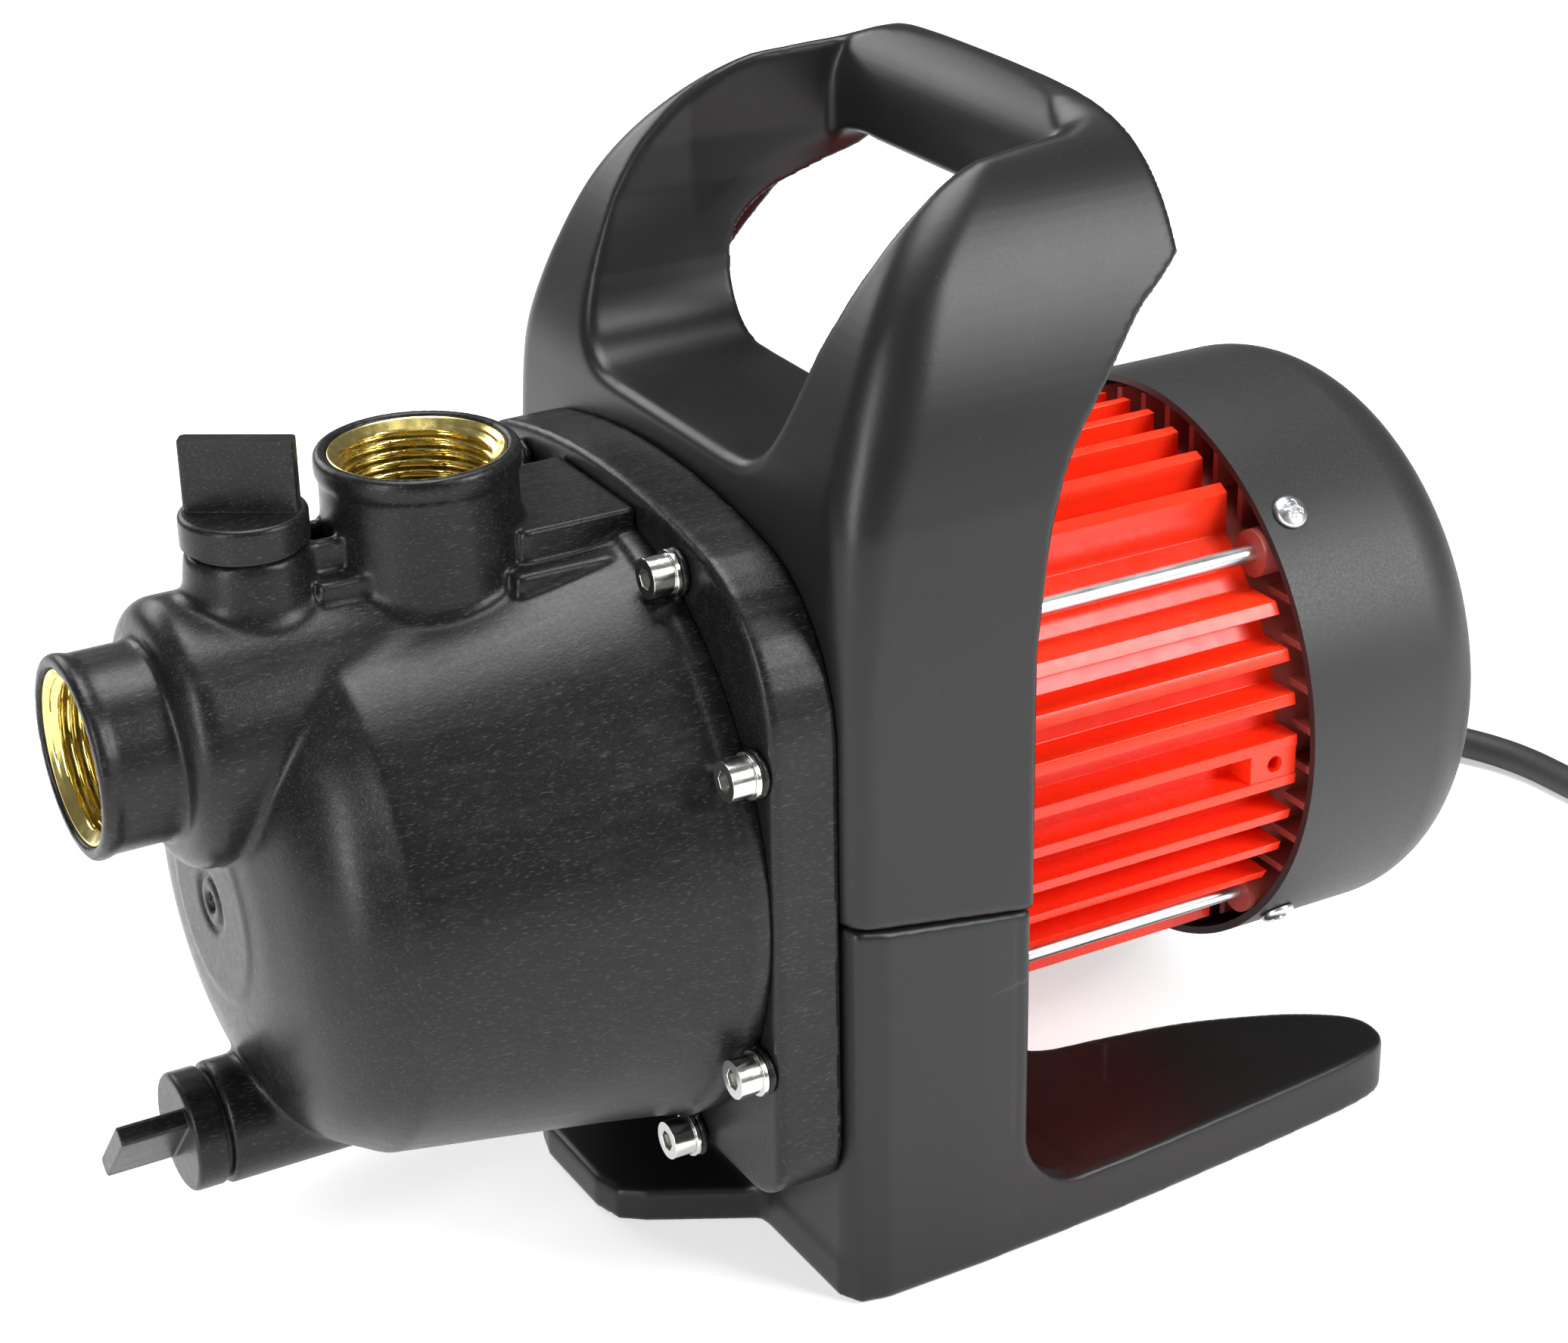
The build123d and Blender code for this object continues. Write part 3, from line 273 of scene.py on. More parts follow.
def copper():
    g = Graph("copper_winding")
    n = g.voronoi(900, "DISTANCE_TO_EDGE", g.scaled(0.3, 1, 1))
    g.set(Base_Color=g.ramp(n, [(0.0, (0.10, 0.03, 0.015)), (0.3, (0.55, 0.19, 0.08))]), Roughness=0.35, Normal=g.bump(n, 0.6, 0.0004))
    g.b.inputs["Metallic"].default_value = 0.9
    return g.m


def rubber(name, c0, c1, r0=0.55, r1=0.72):
    g = Graph(name)
    n = g.noise(1200, 4, 0.6)
    along = g.noise(90, 4, 0.6)
    base = g.ramp(along, [(0.3, c0), (0.75, c1)])
    g.set(Base_Color=base, Roughness=g.ramp(n, [(0.3, r0), (0.8, r1)]), Normal=g.bump(n, 0.18, 0.00014))
    return g.m


plastic_filled(); plastic_shell(); plastic_cover(); plastic_moulded(); enamel(); cast(); laminated(); copper()
metal("brass", (0.80, 0.66, 0.24), 0.16, 0.30, (1, 1, 1), 420, 0.06, (0.60, 0.47, 0.12))
metal("bright_steel", (0.78, 0.77, 0.74), 0.12, 0.24, (1, 1, 1), 900, 0.05)
metal("zinc_steel", (0.70, 0.71, 0.73), 0.24, 0.40, (0.15, 1, 1), 520, 0.10)
metal("plug_brass", (0.72, 0.55, 0.28), 0.20, 0.34, (1, 1, 0.2), 500, 0.05)
rubber("seal_rubber", (0.012, 0.012, 0.012), (0.022, 0.022, 0.022))
rubber("cord_rubber", (0.0125, 0.0125, 0.0128), (0.0215, 0.0212, 0.0210))

def dress(obj, mat):
    obj.data.materials.clear()
    obj.data.materials.append(MATS[mat])


NODE_MAT = dict(
    pump_casing="glass_filled_plastic", bracket_ring="glass_filled_plastic", filler_plug="glass_filled_plastic",
    drain_plug="glass_filled_plastic", ejector="moulded_plastic", diffuser="moulded_plastic", impeller="moulded_plastic",
    suction_insert="brass", outlet_insert="brass", impeller_nut="brass",
    filler_oring="seal_rubber", drain_oring="seal_rubber", casing_seal="seal_rubber", box_gasket="seal_rubber",
    casing_screws="bright_steel", casing_washers="bright_steel", rotor_shaft="bright_steel", front_bearing="bright_steel",
    rear_bearing="bright_steel", seal_rotating="bright_steel", seal_seat="seal_rubber",
    tie_rods="zinc_steel", tie_rod_nuts="zinc_steel", cover_screws="zinc_steel", shell_screws="zinc_steel", box_screws="zinc_steel",
    # the end shields take the darker red, which is painted shade of their red paint
    motor_housing="red_enamel", front_end_shield="cast_alloy", rear_end_shield="cast_alloy",
    rotor_core="lamination", stator_core="lamination", windings="copper_winding", fan_cover="cover_plastic",
    cooling_fan="moulded_plastic", handle_shell="shell_plastic", base_foot="shell_plastic",
    connection_box="moulded_plastic", box_lid="moulded_plastic", switch_body="moulded_plastic", rocker="moulded_plastic",
    terminal_block="moulded_plastic", capacitor="moulded_plastic", gland_body="moulded_plastic", gland_nut="moulded_plastic",
    power_cord="cord_rubber", cord_coil="cord_rubber", mains_plug="cord_rubber", plug_pins="plug_brass")
for name, obj in N.items():
    dress(obj, NODE_MAT.get(name, "moulded_plastic"))


def soften(name, width, angle=28.0, segments=2):
    """Rounds a carried-over solid's edges: the moulded or machined edge break."""
    o = N[name]
    w = o.modifiers.new("weld", "WELD")
    w.merge_threshold = 0.000004
    d = o.modifiers.new("flat", "DECIMATE")
    d.decimate_type = "DISSOLVE"
    d.angle_limit = math.radians(0.6)
    b = o.modifiers.new("edges", "BEVEL")
    b.width = width * MM
    b.segments = segments
    b.limit_method = "ANGLE"
    b.angle_limit = math.radians(angle)
    b.use_clamp_overlap = True
    b.harden_normals = True
    n = o.modifiers.new("normals", "WEIGHTED_NORMAL")
    n.keep_sharp = True


# ------------------------------------------------------------------ cord
# (mm) out of the gland, down to the floor behind the cover, then the coil
route = [(89.0, 80.0, 95.0), (109.0, 80.0, 94.6), (130.0, 80.6, 90.0), (149.0, 81.6, 78.0), (163.0, 82.6, 60.0),
         (175.0, 83.6, 40.5), (189.8, 84.4, 22.3), (209.9, 85.7, 11.8), (229.3, 80.0, 7.0), (245.4, 67.1, 5.2),
         (255.0, 48.7, 4.35), (256.5, 26.5, 4.35), (258.8, 2.0, 4.35), (265.0, -18.0, 4.35), (270.6, -38.0, 4.35)]
coil_c = (322.0, -42.0)
r_out, r_in, z_lo, z_hi = 50.2, 41.8, 4.35, 12.75
turns = []
a0, a1, per = 192.0, 192.0 + 360 * 3 + 168.0, 16
steps = int(round((a1 - a0) / 360 * per))


def ease(t):
    t = min(1.0, max(0.0, t))
    return t * t * (3 - 2 * t)


for i in range(steps + 1):
    a = a0 + (a1 - a0) * i / steps
    k = (a - a0) / 360.0
    rr = r_out + (r_in - r_out) * ease((k - 0.88) / 0.16) + (r_out - r_in) * ease((k - 2.60) / 0.16)
    zz = z_lo + (z_hi - z_lo) * ease((k - 1.84) / 0.2)
    # the control points lie a little outside the circle that the spline follows
    rr *= 1.0 + (1 - math.cos(math.radians(360 / per))) / 4
    turns.append((coil_c[0] + rr * math.cos(math.radians(a)), coil_c[1] + rr * math.sin(math.radians(a)), zz))
tail = [(372.2, -30.0, 12.2), (372.2, -14.0, 9.0)]
pts = route + turns + tail
cu = bpy.data.curves.new("flex", "CURVE")
cu.dimensions = "3D"
sp = cu.splines.new("NURBS")
sp.points.add(len(pts) - 1)
for p, (x, y, z) in zip(sp.points, pts):
    p.co = (x * MM, y * MM, z * MM, 1.0)
sp.order_u = 3
sp.use_endpoint_u = True
cu.resolution_u = 8
cu.bevel_depth = 0.0
flex = bpy.data.objects.new("flex", cu)
bpy.context.scene.collection.objects.link(flex)
bpy.context.view_layer.update()
line = bpy.data.meshes.new_from_object(flex.evaluated_get(bpy.context.evaluated_depsgraph_get()))
path = [v.co.copy() for v in line.vertices]
bpy.data.meshes.remove(line)
cu.bevel_depth = 0.0042
cu.bevel_resolution = 5
cu.use_fill_caps = True
cu.materials.append(MATS["cord_rubber"])
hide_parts("power_cord", "cord_coil")
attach(flex, "pump")

# ------------------------------------------------------------------ moulded shapes
# Each moulding is a signed distance in mm, built from rounded cuts and fillets,
# and its surface is then meshed.
class Block:
    def __init__(self, lo, hi, h):
        self.lo, self.h = np.array(lo, float), h
        n = [int(math.ceil((b - a) / h)) + 1 for a, b in zip(lo, hi)]
        ax = [(lo[k] + h * np.arange(n[k])).astype(np.float32) for k in range(3)]
        self.x, self.y, self.z = ax[0][:, None, None], ax[1][None, :, None], ax[2][None, None, :]

    def cyl_x(self, y, z, r, x0, x1, e=0.0):
        return rmax(np.hypot(self.y - y, self.z - z) - r, np.maximum(x0 - self.x, self.x - x1), e)

    def cyl_z(self, x, y, r, z0, z1, e=0.0):
        return rmax(np.hypot(self.x - x, self.y - y) - r, np.maximum(z0 - self.z, self.z - z1), e)

    def slab(self, x0, x1, y0, y1, z0, z1, e=0.0):
        d = rmax(np.maximum(x0 - self.x, self.x - x1), np.maximum(y0 - self.y, self.y - y1), e)
        return rmax(d, np.maximum(z0 - self.z, self.z - z1), e)

    def lathe_x(self, P, zc=AX):
        r = np.hypot(self.y, self.z - zc)
        rr = np.arange(0, float(r.max()) + 1.5, 0.5, dtype=np.float32)
        T = poly(self.x[:, :, 0], rr[None, :], P)
        i = (r / 0.5).astype(int)[0]
        w = (r / 0.5)[0] - i
        return T[:, i] * (1 - w) + T[:, i + 1] * w

    def lathe_z(self, P, xc, yc=0.0):
        r = np.hypot(self.x - xc, self.y - yc)
        rr = np.arange(0, float(r.max()) + 1.5, 0.5, dtype=np.float32)
        T = poly(rr[:, None], self.z[0], P)
        i = (r / 0.5).astype(int)[:, :, 0]
        w = ((r / 0.5)[:, :, 0] - i)[:, :, None]
        return T[i] * (1 - w) + T[i + 1] * w

    def along_x(self, P):
        return poly(self.y[0], self.z[0], P)[None]

    def along_y(self, P):
        return poly(self.x[:, 0], self.z[0], P)[:, None, :]

    def along_z(self, P):
        return poly(self.x[:, :, 0], self.y[:, :, 0], P)[:, :, None]


def rmax(a, b, r=0.0):
    if isinstance(r, float) and r <= 0:
        return np.maximum(a, b)
    return np.minimum(np.maximum(a, b), -r) + np.hypot(np.maximum(a + r, 0), np.maximum(b + r, 0))


def rmin(a, b, r=0.0):
    if isinstance(r, float) and r <= 0:
        return np.minimum(a, b)
    return -rmax(-a, -b, r)


def cut(a, b, r=0.0):
    return rmax(a, -b, r)


def poly(u, v, P):
    """Signed distance to a closed outline, negative inside."""
    u, v = np.broadcast_arrays(np.asarray(u, np.float32), np.asarray(v, np.float32))
    P = np.asarray(P, np.float32)
    best = np.full(u.shape, 1e9, np.float32)
    inside = np.zeros(u.shape, bool)
    for a, b in zip(P, np.roll(P, -1, axis=0)):
        e = b - a
        l2 = float(e @ e)
        if l2 < 1e-9:
            continue
        wx, wy = u - a[0], v - a[1]
        t = np.clip((wx * e[0] + wy * e[1]) / l2, 0, 1)
        best = np.minimum(best, (wx - e[0] * t) ** 2 + (wy - e[1] * t) ** 2)
        if e[1] != 0:
            crosses = ((a[1] <= v) & (b[1] > v)) | ((b[1] <= v) & (a[1] > v))
            inside ^= crosses & (u < a[0] + wy * (e[0] / e[1]))
    return np.where(inside, -1.0, 1.0).astype(np.float32) * np.sqrt(best)


def flow(P, n=6):
    """A smooth line through the points."""
    P = [np.array(p, float) for p in P]
    Q = [2 * P[0] - P[1]] + P + [2 * P[-1] - P[-2]]
    out = []
    for a, b, c, d in zip(Q, Q[1:], Q[2:], Q[3:]):
        for k in range(n):
            t = k / n
            out.append(0.5 * (2 * b + (c - a) * t + (2 * a - 5 * b + 4 * c - d) * t * t + (3 * b - a - 3 * c + d) * t ** 3))
    return [tuple(p) for p in out] + [tuple(P[-1])]


def arc3(a, b, c, n=10):
    (ax, ay), (bx, by), (cx, cy) = a, b, c
    d = 2 * (ax * (by - cy) + bx * (cy - ay) + cx * (ay - by))
    ux = ((ax * ax + ay * ay) * (by - cy) + (bx * bx + by * by) * (cy - ay) + (cx * cx + cy * cy) * (ay - by)) / d
    uy = ((ax * ax + ay * ay) * (cx - bx) + (bx * bx + by * by) * (ax - cx) + (cx * cx + cy * cy) * (bx - ax)) / d
    r = math.hypot(ax - ux, ay - uy)
    t = [math.atan2(y - uy, x - ux) for x, y in (a, b, c)]
    sweep = (t[2] - t[0]) % (2 * math.pi)
    if (t[1] - t[0]) % (2 * math.pi) > sweep:
        sweep -= 2 * math.pi
    return [(ux + r * math.cos(t[0] + sweep * k / n), uy + r * math.sin(t[0] + sweep * k / n)) for k in range(n + 1)]


CORNERS = [(0, 0, 0), (1, 0, 0), (0, 1, 0), (1, 1, 0), (0, 0, 1), (1, 0, 1), (0, 1, 1), (1, 1, 1)]
EDGES = [(0, 1), (2, 3), (4, 5), (6, 7), (0, 2), (1, 3), (4, 6), (5, 7), (0, 4), (1, 5), (2, 6), (3, 7)]


def skin(name, block, F, mat, body="pump", stands_for=(), smooth=2):
    """Meshes the surface of a signed distance."""
    F = np.ascontiguousarray(np.broadcast_to(F, (block.x.shape[0], block.y.shape[1], block.z.shape[2])), dtype=np.float32)
    S = F < 0
    nx, ny, nz = F.shape
    cell = np.zeros((nx - 1, ny - 1, nz - 1), np.int8)
    for dx, dy, dz in CORNERS:
        cell += S[dx:nx - 1 + dx, dy:ny - 1 + dy, dz:nz - 1 + dz]
    mixed = (cell > 0) & (cell < 8)
    I = np.argwhere(mixed)
    index = np.full(mixed.shape, -1, np.int64)
    index[mixed] = np.arange(len(I))
    V = np.stack([F[I[:, 0] + c[0], I[:, 1] + c[1], I[:, 2] + c[2]] for c in CORNERS], 1)
    pos = np.zeros((len(I), 3))
    cnt = np.zeros(len(I))
    for a, b in EDGES:
        m = (V[:, a] < 0) != (V[:, b] < 0)
        t = (V[m, a] / (V[m, a] - V[m, b]))[:, None]
        pos[m] += np.array(CORNERS[a]) * (1 - t) + np.array(CORNERS[b]) * t
        cnt[m] += 1
    vert = I + pos / cnt[:, None]
    quads = []
    for ax in range(3):
        o = [slice(None)] * 3
        lo_s, hi_s = list(o), list(o)
        lo_s[ax], hi_s[ax] = slice(0, -1), slice(1, None)
        A, B = S[tuple(lo_s)], S[tuple(hi_s)]
        e1, e2 = [k for k in range(3) if k != ax]
        E = np.argwhere(A != B)
        E = E[(E[:, e1] > 0) & (E[:, e2] > 0) & (E[:, e1] < F.shape[e1] - 1) & (E[:, e2] < F.shape[e2] - 1)]
        flip = A[E[:, 0], E[:, 1], E[:, 2]]
        c = []
        for d1, d2 in ((1, 1), (0, 1), (0, 0), (1, 0)):
            q = E.copy()
            q[:, e1] -= d1
            q[:, e2] -= d2
            c.append(index[q[:, 0], q[:, 1], q[:, 2]])
        q = np.stack(c, 1)
        if ax == 1:
            flip = ~flip
        q[~flip] = q[~flip][:, ::-1]
        quads.append(q)
    quads = np.concatenate(quads)

    def sample(p):
        p = np.clip(p, 0, np.array(F.shape) - 1.001)
        i = p.astype(int)
        w = p - i
        v = np.zeros(len(p))
        g = np.zeros((len(p), 3))
        for c in CORNERS:
            f = F[i[:, 0] + c[0], i[:, 1] + c[1], i[:, 2] + c[2]]
            s = [w[:, k] if c[k] else 1 - w[:, k] for k in range(3)]
            v += f * s[0] * s[1] * s[2]
            g[:, 0] += f * (1 if c[0] else -1) * s[1] * s[2]
            g[:, 1] += f * (1 if c[1] else -1) * s[0] * s[2]
            g[:, 2] += f * (1 if c[2] else -1) * s[0] * s[1]
        return v, g

    pairs = np.concatenate([quads[:, [k, (k + 1) % 4]] for k in range(4)])
    for _ in range(smooth):
        tot = np.zeros_like(vert)
        n = np.zeros(len(vert))
        for s, t in ((0, 1), (1, 0)):
            for k in range(3):
                tot[:, k] += np.bincount(pairs[:, s], vert[pairs[:, t], k], len(vert))
            n += np.bincount(pairs[:, s], minlength=len(vert))
        moved = vert * 0.4 + 0.6 * tot / np.maximum(n, 1)[:, None]
        v, g = sample(moved)
        step = v[:, None] * g / np.maximum((g * g).sum(1), 0.05)[:, None]
        vert = moved - np.clip(step, -0.6, 0.6)
    co = ((block.lo + vert * block.h) * MM).astype(np.float32)
    me = bpy.data.meshes.new(name)
    me.vertices.add(len(co))
    me.vertices.foreach_set("co", co.ravel())
    me.loops.add(quads.size)
    me.loops.foreach_set("vertex_index", quads.astype(np.int32).ravel())
    me.polygons.add(len(quads))
    me.polygons.foreach_set("loop_start", np.arange(0, quads.size, 4, dtype=np.int32))
    me.polygons.foreach_set("use_smooth", np.ones(len(quads), bool))
    me.update()
    me.validate()
    o = bpy.data.objects.new(name, me)
    bpy.context.scene.collection.objects.link(o)
    me.materials.append(MATS[mat])
    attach(o, body)
    if stands_for:
        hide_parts(*stands_for)
    print(name, len(co), "points")
    return o


SCREWS = [(-75.2 * math.cos(math.radians(a)), AX + 75.2 * math.sin(math.radians(a))) for a in (27, 61.5, 118.5, 153, 207, 241.5, 298.5, 333)]

# ---- pump casing
B = Block((-170, -83, 15), (-48, 83, 187), 1.0)
barrel = [(-142.5, 0.0), (-142.5, 20.6)] + flow([(-142.1, 21.4), (-140.9, 31.0), (-137.0, 44.0), (-130.3, 53.3), (-121.0, 59.0)], 5) \
    + [(-119.4, 59.9), (-73.0, 66.9), (-56.0, 69.9), (-50.0, 69.9), (-50.0, 0.0)]
D = B.lathe_x(barrel)
flange = B.cyl_x(0, AX, 71.0, -55, -50, 0.7)
for y, z in SCREWS:
    flange = rmin(flange, B.cyl_x(y, z, 5.2, -54.2, -50, 0.4), 0.8)
D = rmin(D, flange, 1.4)
D = rmin(D, B.cyl_x(0, 134.5, 28.0, -151, -78, 6.0), 1.4)
D = rmin(D, B.cyl_x(0, 134.5, 20.5, -167.9, -146, 0.8), 1.5)
D = rmin(D, B.cyl_x(0, 134.5, 21.0, -167.9, -164.8, 0.8), 0.6)
outlet = [(0, 146), (22.4, 146), (21.3, 158), (20.6, 167), (20.2, 174), (20.2, 179.2), (21.0, 180.2), (21.0, 183.7), (20.1, 184.6), (0, 184.6)]
D = rmin(D, B.lathe_z(outlet, -90.0), 1.8)
filler = [(0, 148), (14.4, 148), (13.6, 160), (12.5, 169.8), (11.9, 171.2), (0, 171.2)]
D = rmin(D, B.lathe_z(filler, -127.6), 2.2)
for y in (-5.0, 5.0):
    D = rmin(D, B.slab(-117.5, -105.0, y - 1.3, y + 1.3, 150, 171, 0.3), 1.0)
D = rmin(D, B.slab(-117.5, -105.0, -12.0, 12.0, 150, 164.2, 0.6), 1.2)
D = rmin(D, B.slab(-76, -50, -17.6, 17.6, 146, 168.4, 0.8), 0.8)
D = rmin(D, B.slab(-80, -58, -23.0, 23.0, 146, 161.4, 0.8), 1.2)
D = rmin(D, B.cyl_x(0, 43.3, 13.3, -146.9, -104.9, 0.7), 2.0)
cavity = [(-138.5, 0), (-138.5, 18)] + flow([(-138.5, 18), (-136.9, 29.5), (-133.2, 41.2), (-127.0, 49.4), (-119.0, 54.6),
                                            (-105.5, 58.8), (-87.0, 62.0), (-47.0, 64.0)], 3) + [(-47.0, 0)]
D = cut(D, B.lathe_x(cavity))
D = cut(D, B.cyl_x(0, 134.5, 23.6, -147, -87), 0.5)
D = cut(D, B.cyl_x(0, 134.5, 14.4, -172, -140), 0.5)
D = cut(D, B.cyl_x(0, 134.5, 18.25, -172, -151.9))
D = cut(D, B.cyl_z(-90, 0, 14.4, 140, 190), 0.5)
D = cut(D, B.cyl_z(-90, 0, 18.25, 168.6, 190))
D = cut(D, B.cyl_z(-127.6, 0, 9.0, 141, 176), 0.4)
D = cut(D, B.cyl_x(0, 43.3, 9.0, -150, -121), 0.4)
for y, z in SCREWS:
    D = cut(D, B.cyl_x(y, z, 5.6, -61.4, -52), 0.3)
    D = cut(D, B.cyl_x(y, z, 2.6, -60, -47))
rad = np.hypot(B.y, B.z - AX)
D = cut(D, rmax(np.abs(rad - 6.0) - 0.7, B.x + 141.6), 0.3)
D = cut(D, rmax(rad - 2.2, B.x + 140.9), 0.4)
skin("casing_moulding", B, D, "glass_filled_plastic", "pump", ("pump_casing",))

# ---- bracket ring behind the casing
B = Block((-52, -74, 25), (-33, 74, 175), 1.0)
ring = arc3((-41.5, 168.2), (0, 172.6), (41.5, 168.2)) + arc3((41.5, 168.2), (63.0, 156.6), (72.0, 131.0))[1:] \
    + arc3((72.0, 40.0), (68.3, 31.2), (59.5, 27.5), 6) + arc3((-59.5, 27.5), (-68.3, 31.2), (-72.0, 40.0), 6) \
    + arc3((-72.0, 131.0), (-63.0, 156.6), (-41.5, 168.2))
D = np.maximum(rmax(B.along_x(ring), -50 - B.x, 1.7), B.x + 35)
D = cut(D, B.cyl_x(0, AX, 17.0, -60, -30))
D = cut(D, B.cyl_x(0, AX, 58.0, -44, -30))
for y, z in SCREWS:
    D = cut(D, B.cyl_x(y, z, 2.55, -55, -39))
skin("ring_moulding", B, D, "glass_filled_plastic", "pump", ("bracket_ring",))

# ---- handle shell
B = Block((-38, -79, 82), (54, 79, 251), 1.0)
front_line = [(-35.0, 60.0), (-35.0, 158.0)] + flow([(-35.0, 158.0), (-34.4, 172.0), (-32.6, 184.0), (-27.0, 199.0), (-19.5, 213.5),
                                                     (-11.0, 224.3), (0.0, 233.5), (12.0, 240.8), (25.0, 247.2), (38.0, 251.8),
                                                     (60.0, 258.0)], 5) + [(140.0, 270.0), (140.0, 60.0)]
rear_line = [(9.8, 60.0), (9.8, 144.0)] + flow([(9.8, 144.0), (13.0, 170.0), (18.4, 185.0), (28.2, 198.0), (37.0, 208.2), (43.2, 213.0),
                                                (49.2, 217.6)], 5) \
    + flow([(49.2, 217.6), (49.4, 228.0), (48.8, 236.5), (47.0, 242.2), (43.6, 246.0), (38.5, 248.4), (28.0, 250.8), (10.0, 253.0)], 4)[1:] \
    + [(-90.0, 262.0), (-90.0, 60.0)]
arch_r = [(76.0, 168.0), (75.4, 180.0), (72.8, 196.0), (68.2, 210.5), (62.2, 222.8), (54.6, 233.0), (45.5, 240.2), (34.0, 244.4), (20.0, 246.2), (8.0, 246.8)]
arch = flow([(76.0, 120.0)] + arch_r + [(0.0, 246.9)] + [(-y, z) for y, z in reversed(arch_r)] + [(-76.0, 120.0)], 5) + [(-76.0, 60.0), (76.0, 60.0)]
hole_r = flow([(24.0, 179.3), (32.5, 180.2), (38.8, 184.2), (42.8, 191.5), (44.8, 202.0), (44.8, 211.0), (43.2, 217.0), (39.5, 220.6), (33.0, 221.9), (24.0, 221.9)], 6)
hole = hole_r + [(-y, z) for y, z in reversed(hole_r)]
d_arch, d_front, d_rear = B.along_x(arch), B.along_y(front_line), B.along_y(rear_line)
# the edge between front and sides is broad low down and on the shoulders, and fades out along the top
steep = np.interp(B.x, [-35, -27, -19, -11, 0, 12, 25, 37], [0.0, 0.4, 0.55, 0.65, 0.78, 0.88, 0.96, 1.0])
flat = np.interp(np.abs(B.y), [0, 12, 27, 40, 50, 63, 76], [1.0, 0.99, 0.96, 0.92, 0.84, 0.62, 0.0])
up = np.clip((B.z - 140.0) / 60.0, 0, 1)
D = rmax(d_arch, d_front, (0.5 + (6.0 + 6.5 * up) * (1 - steep * flat * up)).astype(np.float32))
D = rmax(D, d_rear, 1.2)
D = cut(D, B.along_x(hole), 2.6)
grip = [(-60.0, 194.0), (32.2, 194.0), (32.2, 229.0)] + arc3((32.2, 229.0), (35.2, 239.6), (44.6, 247.6), 10) + [(46.0, 264.0), (-60.0, 264.0)]
# the hand room ends on the legs' inner faces, which flare towards the front; the near shoulder runs softly into the grip
flare = 6.0 * np.clip((33.0 - B.x) / 34.0, 0, 1) * np.interp(B.z, [192, 202, 212, 222, 232, 250], [0.0, 0.45, 0.85, 1.0, 0.8, 0.5])
soft = 1.2 + np.interp(B.z, [205, 222, 236, 246], [0.0, 1.0, 3.0, 4.5]) * np.interp(B.y, [-42, -34, 36, 44], [1.0, 0.0, 0.0, 0.4])
D = cut(D, rmax(B.along_y(grip), np.abs(B.y) - 42.5 - flare, 2.2), soft.astype(np.float32))
hollow = flow([(5.0, 170.0), (5.6, 186.0), (6.6, 197.0), (9.8, 203.0), (15.9, 207.7), (22.5, 210.4), (31.1, 213.2), (40.3, 216.1), (44.6, 222.0),
               (45.2, 236.0)], 4) + [(45.2, 290.0), (120.0, 290.0), (120.0, 170.0)]
D = cut(D, rmax(rmax(B.along_y(hollow), d_arch + 4.2, 3.0), 176.0 - B.z, 1.0), 0.6)
D = cut(D, B.cyl_x(0, AX, 64.6, -70, 70), 0.6)
inside = [(-72.0, 60.0), (-72.0, 165.0), (-60.0, 175.0), (60.0, 175.0), (72.0, 165.0), (72.0, 60.0)]
D = cut(D, rmax(B.along_x(inside), -31.0 - B.x, 2.0), 0.6)
seam = (92.2 - (B.x + 35.0) * (7.0 / 44.8)) - B.z
D = rmax(D, seam, 1.3)
skin("handle_moulding", B, D, "shell_plastic", "pump", ("handle_shell",))

# ---- foot
B = Block((-67, -79, -2), (122, 79, 94), 0.95)
near = [(-64.5, 0.0), (-64.5, -12.0), (-62.6, -19.3), (-57.5, -23.4), (-35.6, -35.6), (-35.0, -38.5), (-35.0, -69.5), (-32.4, -74.6), (-26.0, -76.0)] \
    + flow([(-2.0, -75.6), (18.7, -74.6), (39.7, -73.3), (61.9, -71.3), (89.7, -68.5), (108.0, -66.0), (116.6, -62.8), (119.4, -56.8),
            (117.6, -50.2), (110.0, -43.8), (99.0, -38.0), (81.0, -31.4), (61.0, -27.4), (47.0, -25.0), (41.5, -20.0), (38.6, -10.0), (38.2, 0.0)], 4)
sole = near[:-1] + [(x, -y) for x, y in reversed(near[1:])]
side = [(-80.0, 0.0), (-80.0, 8.6), (-38.0, 8.6)] + arc3((-38.0, 8.6), (-35.9, 9.5), (-35.0, 11.6), 4) + [(-35.0, 91.6), (9.8, 84.6)] \
    + arc3((9.8, 31.0), (13.8, 18.8), (24.5, 13.6), 8) + [(140.0, 13.6), (140.0, 0.0)]
D = rmax(B.along_z(sole), B.along_y(side), 1.6)
front = rmax(np.abs(B.y) - 76.0, -35.0 - B.x, 6.5)
D = np.where(B.z > 12.0, np.maximum(D, rmax(front, B.z - 200.0)), D)
D = cut(D, B.cyl_x(0, AX, 64.6, -70, 70), 0.6)
D = cut(D, rmax(B.slab(-30, 60, -70, 70, 13.6, 120, 2.0), B.x - 26.0 + 0 * B.y), 0.6)
for y in (-34.0, 34.0):
    D = rmin(D, B.slab(-31, 4, y - 2.5, y + 2.5, 11, 36, 0.6), 1.5)
D = cut(D, B.cyl_x(0, AX, 64.6, -70, 70), 0.6)
D = cut(D, rmax(np.maximum(np.abs(B.x - 6.4) - 0.55, 30.0 - B.z), 75.1 - np.abs(B.y)), 0.2)
D = rmax(D, -B.z, 0.8)
skin("foot_moulding", B, D, "shell_plastic", "pump", ("base_foot",))


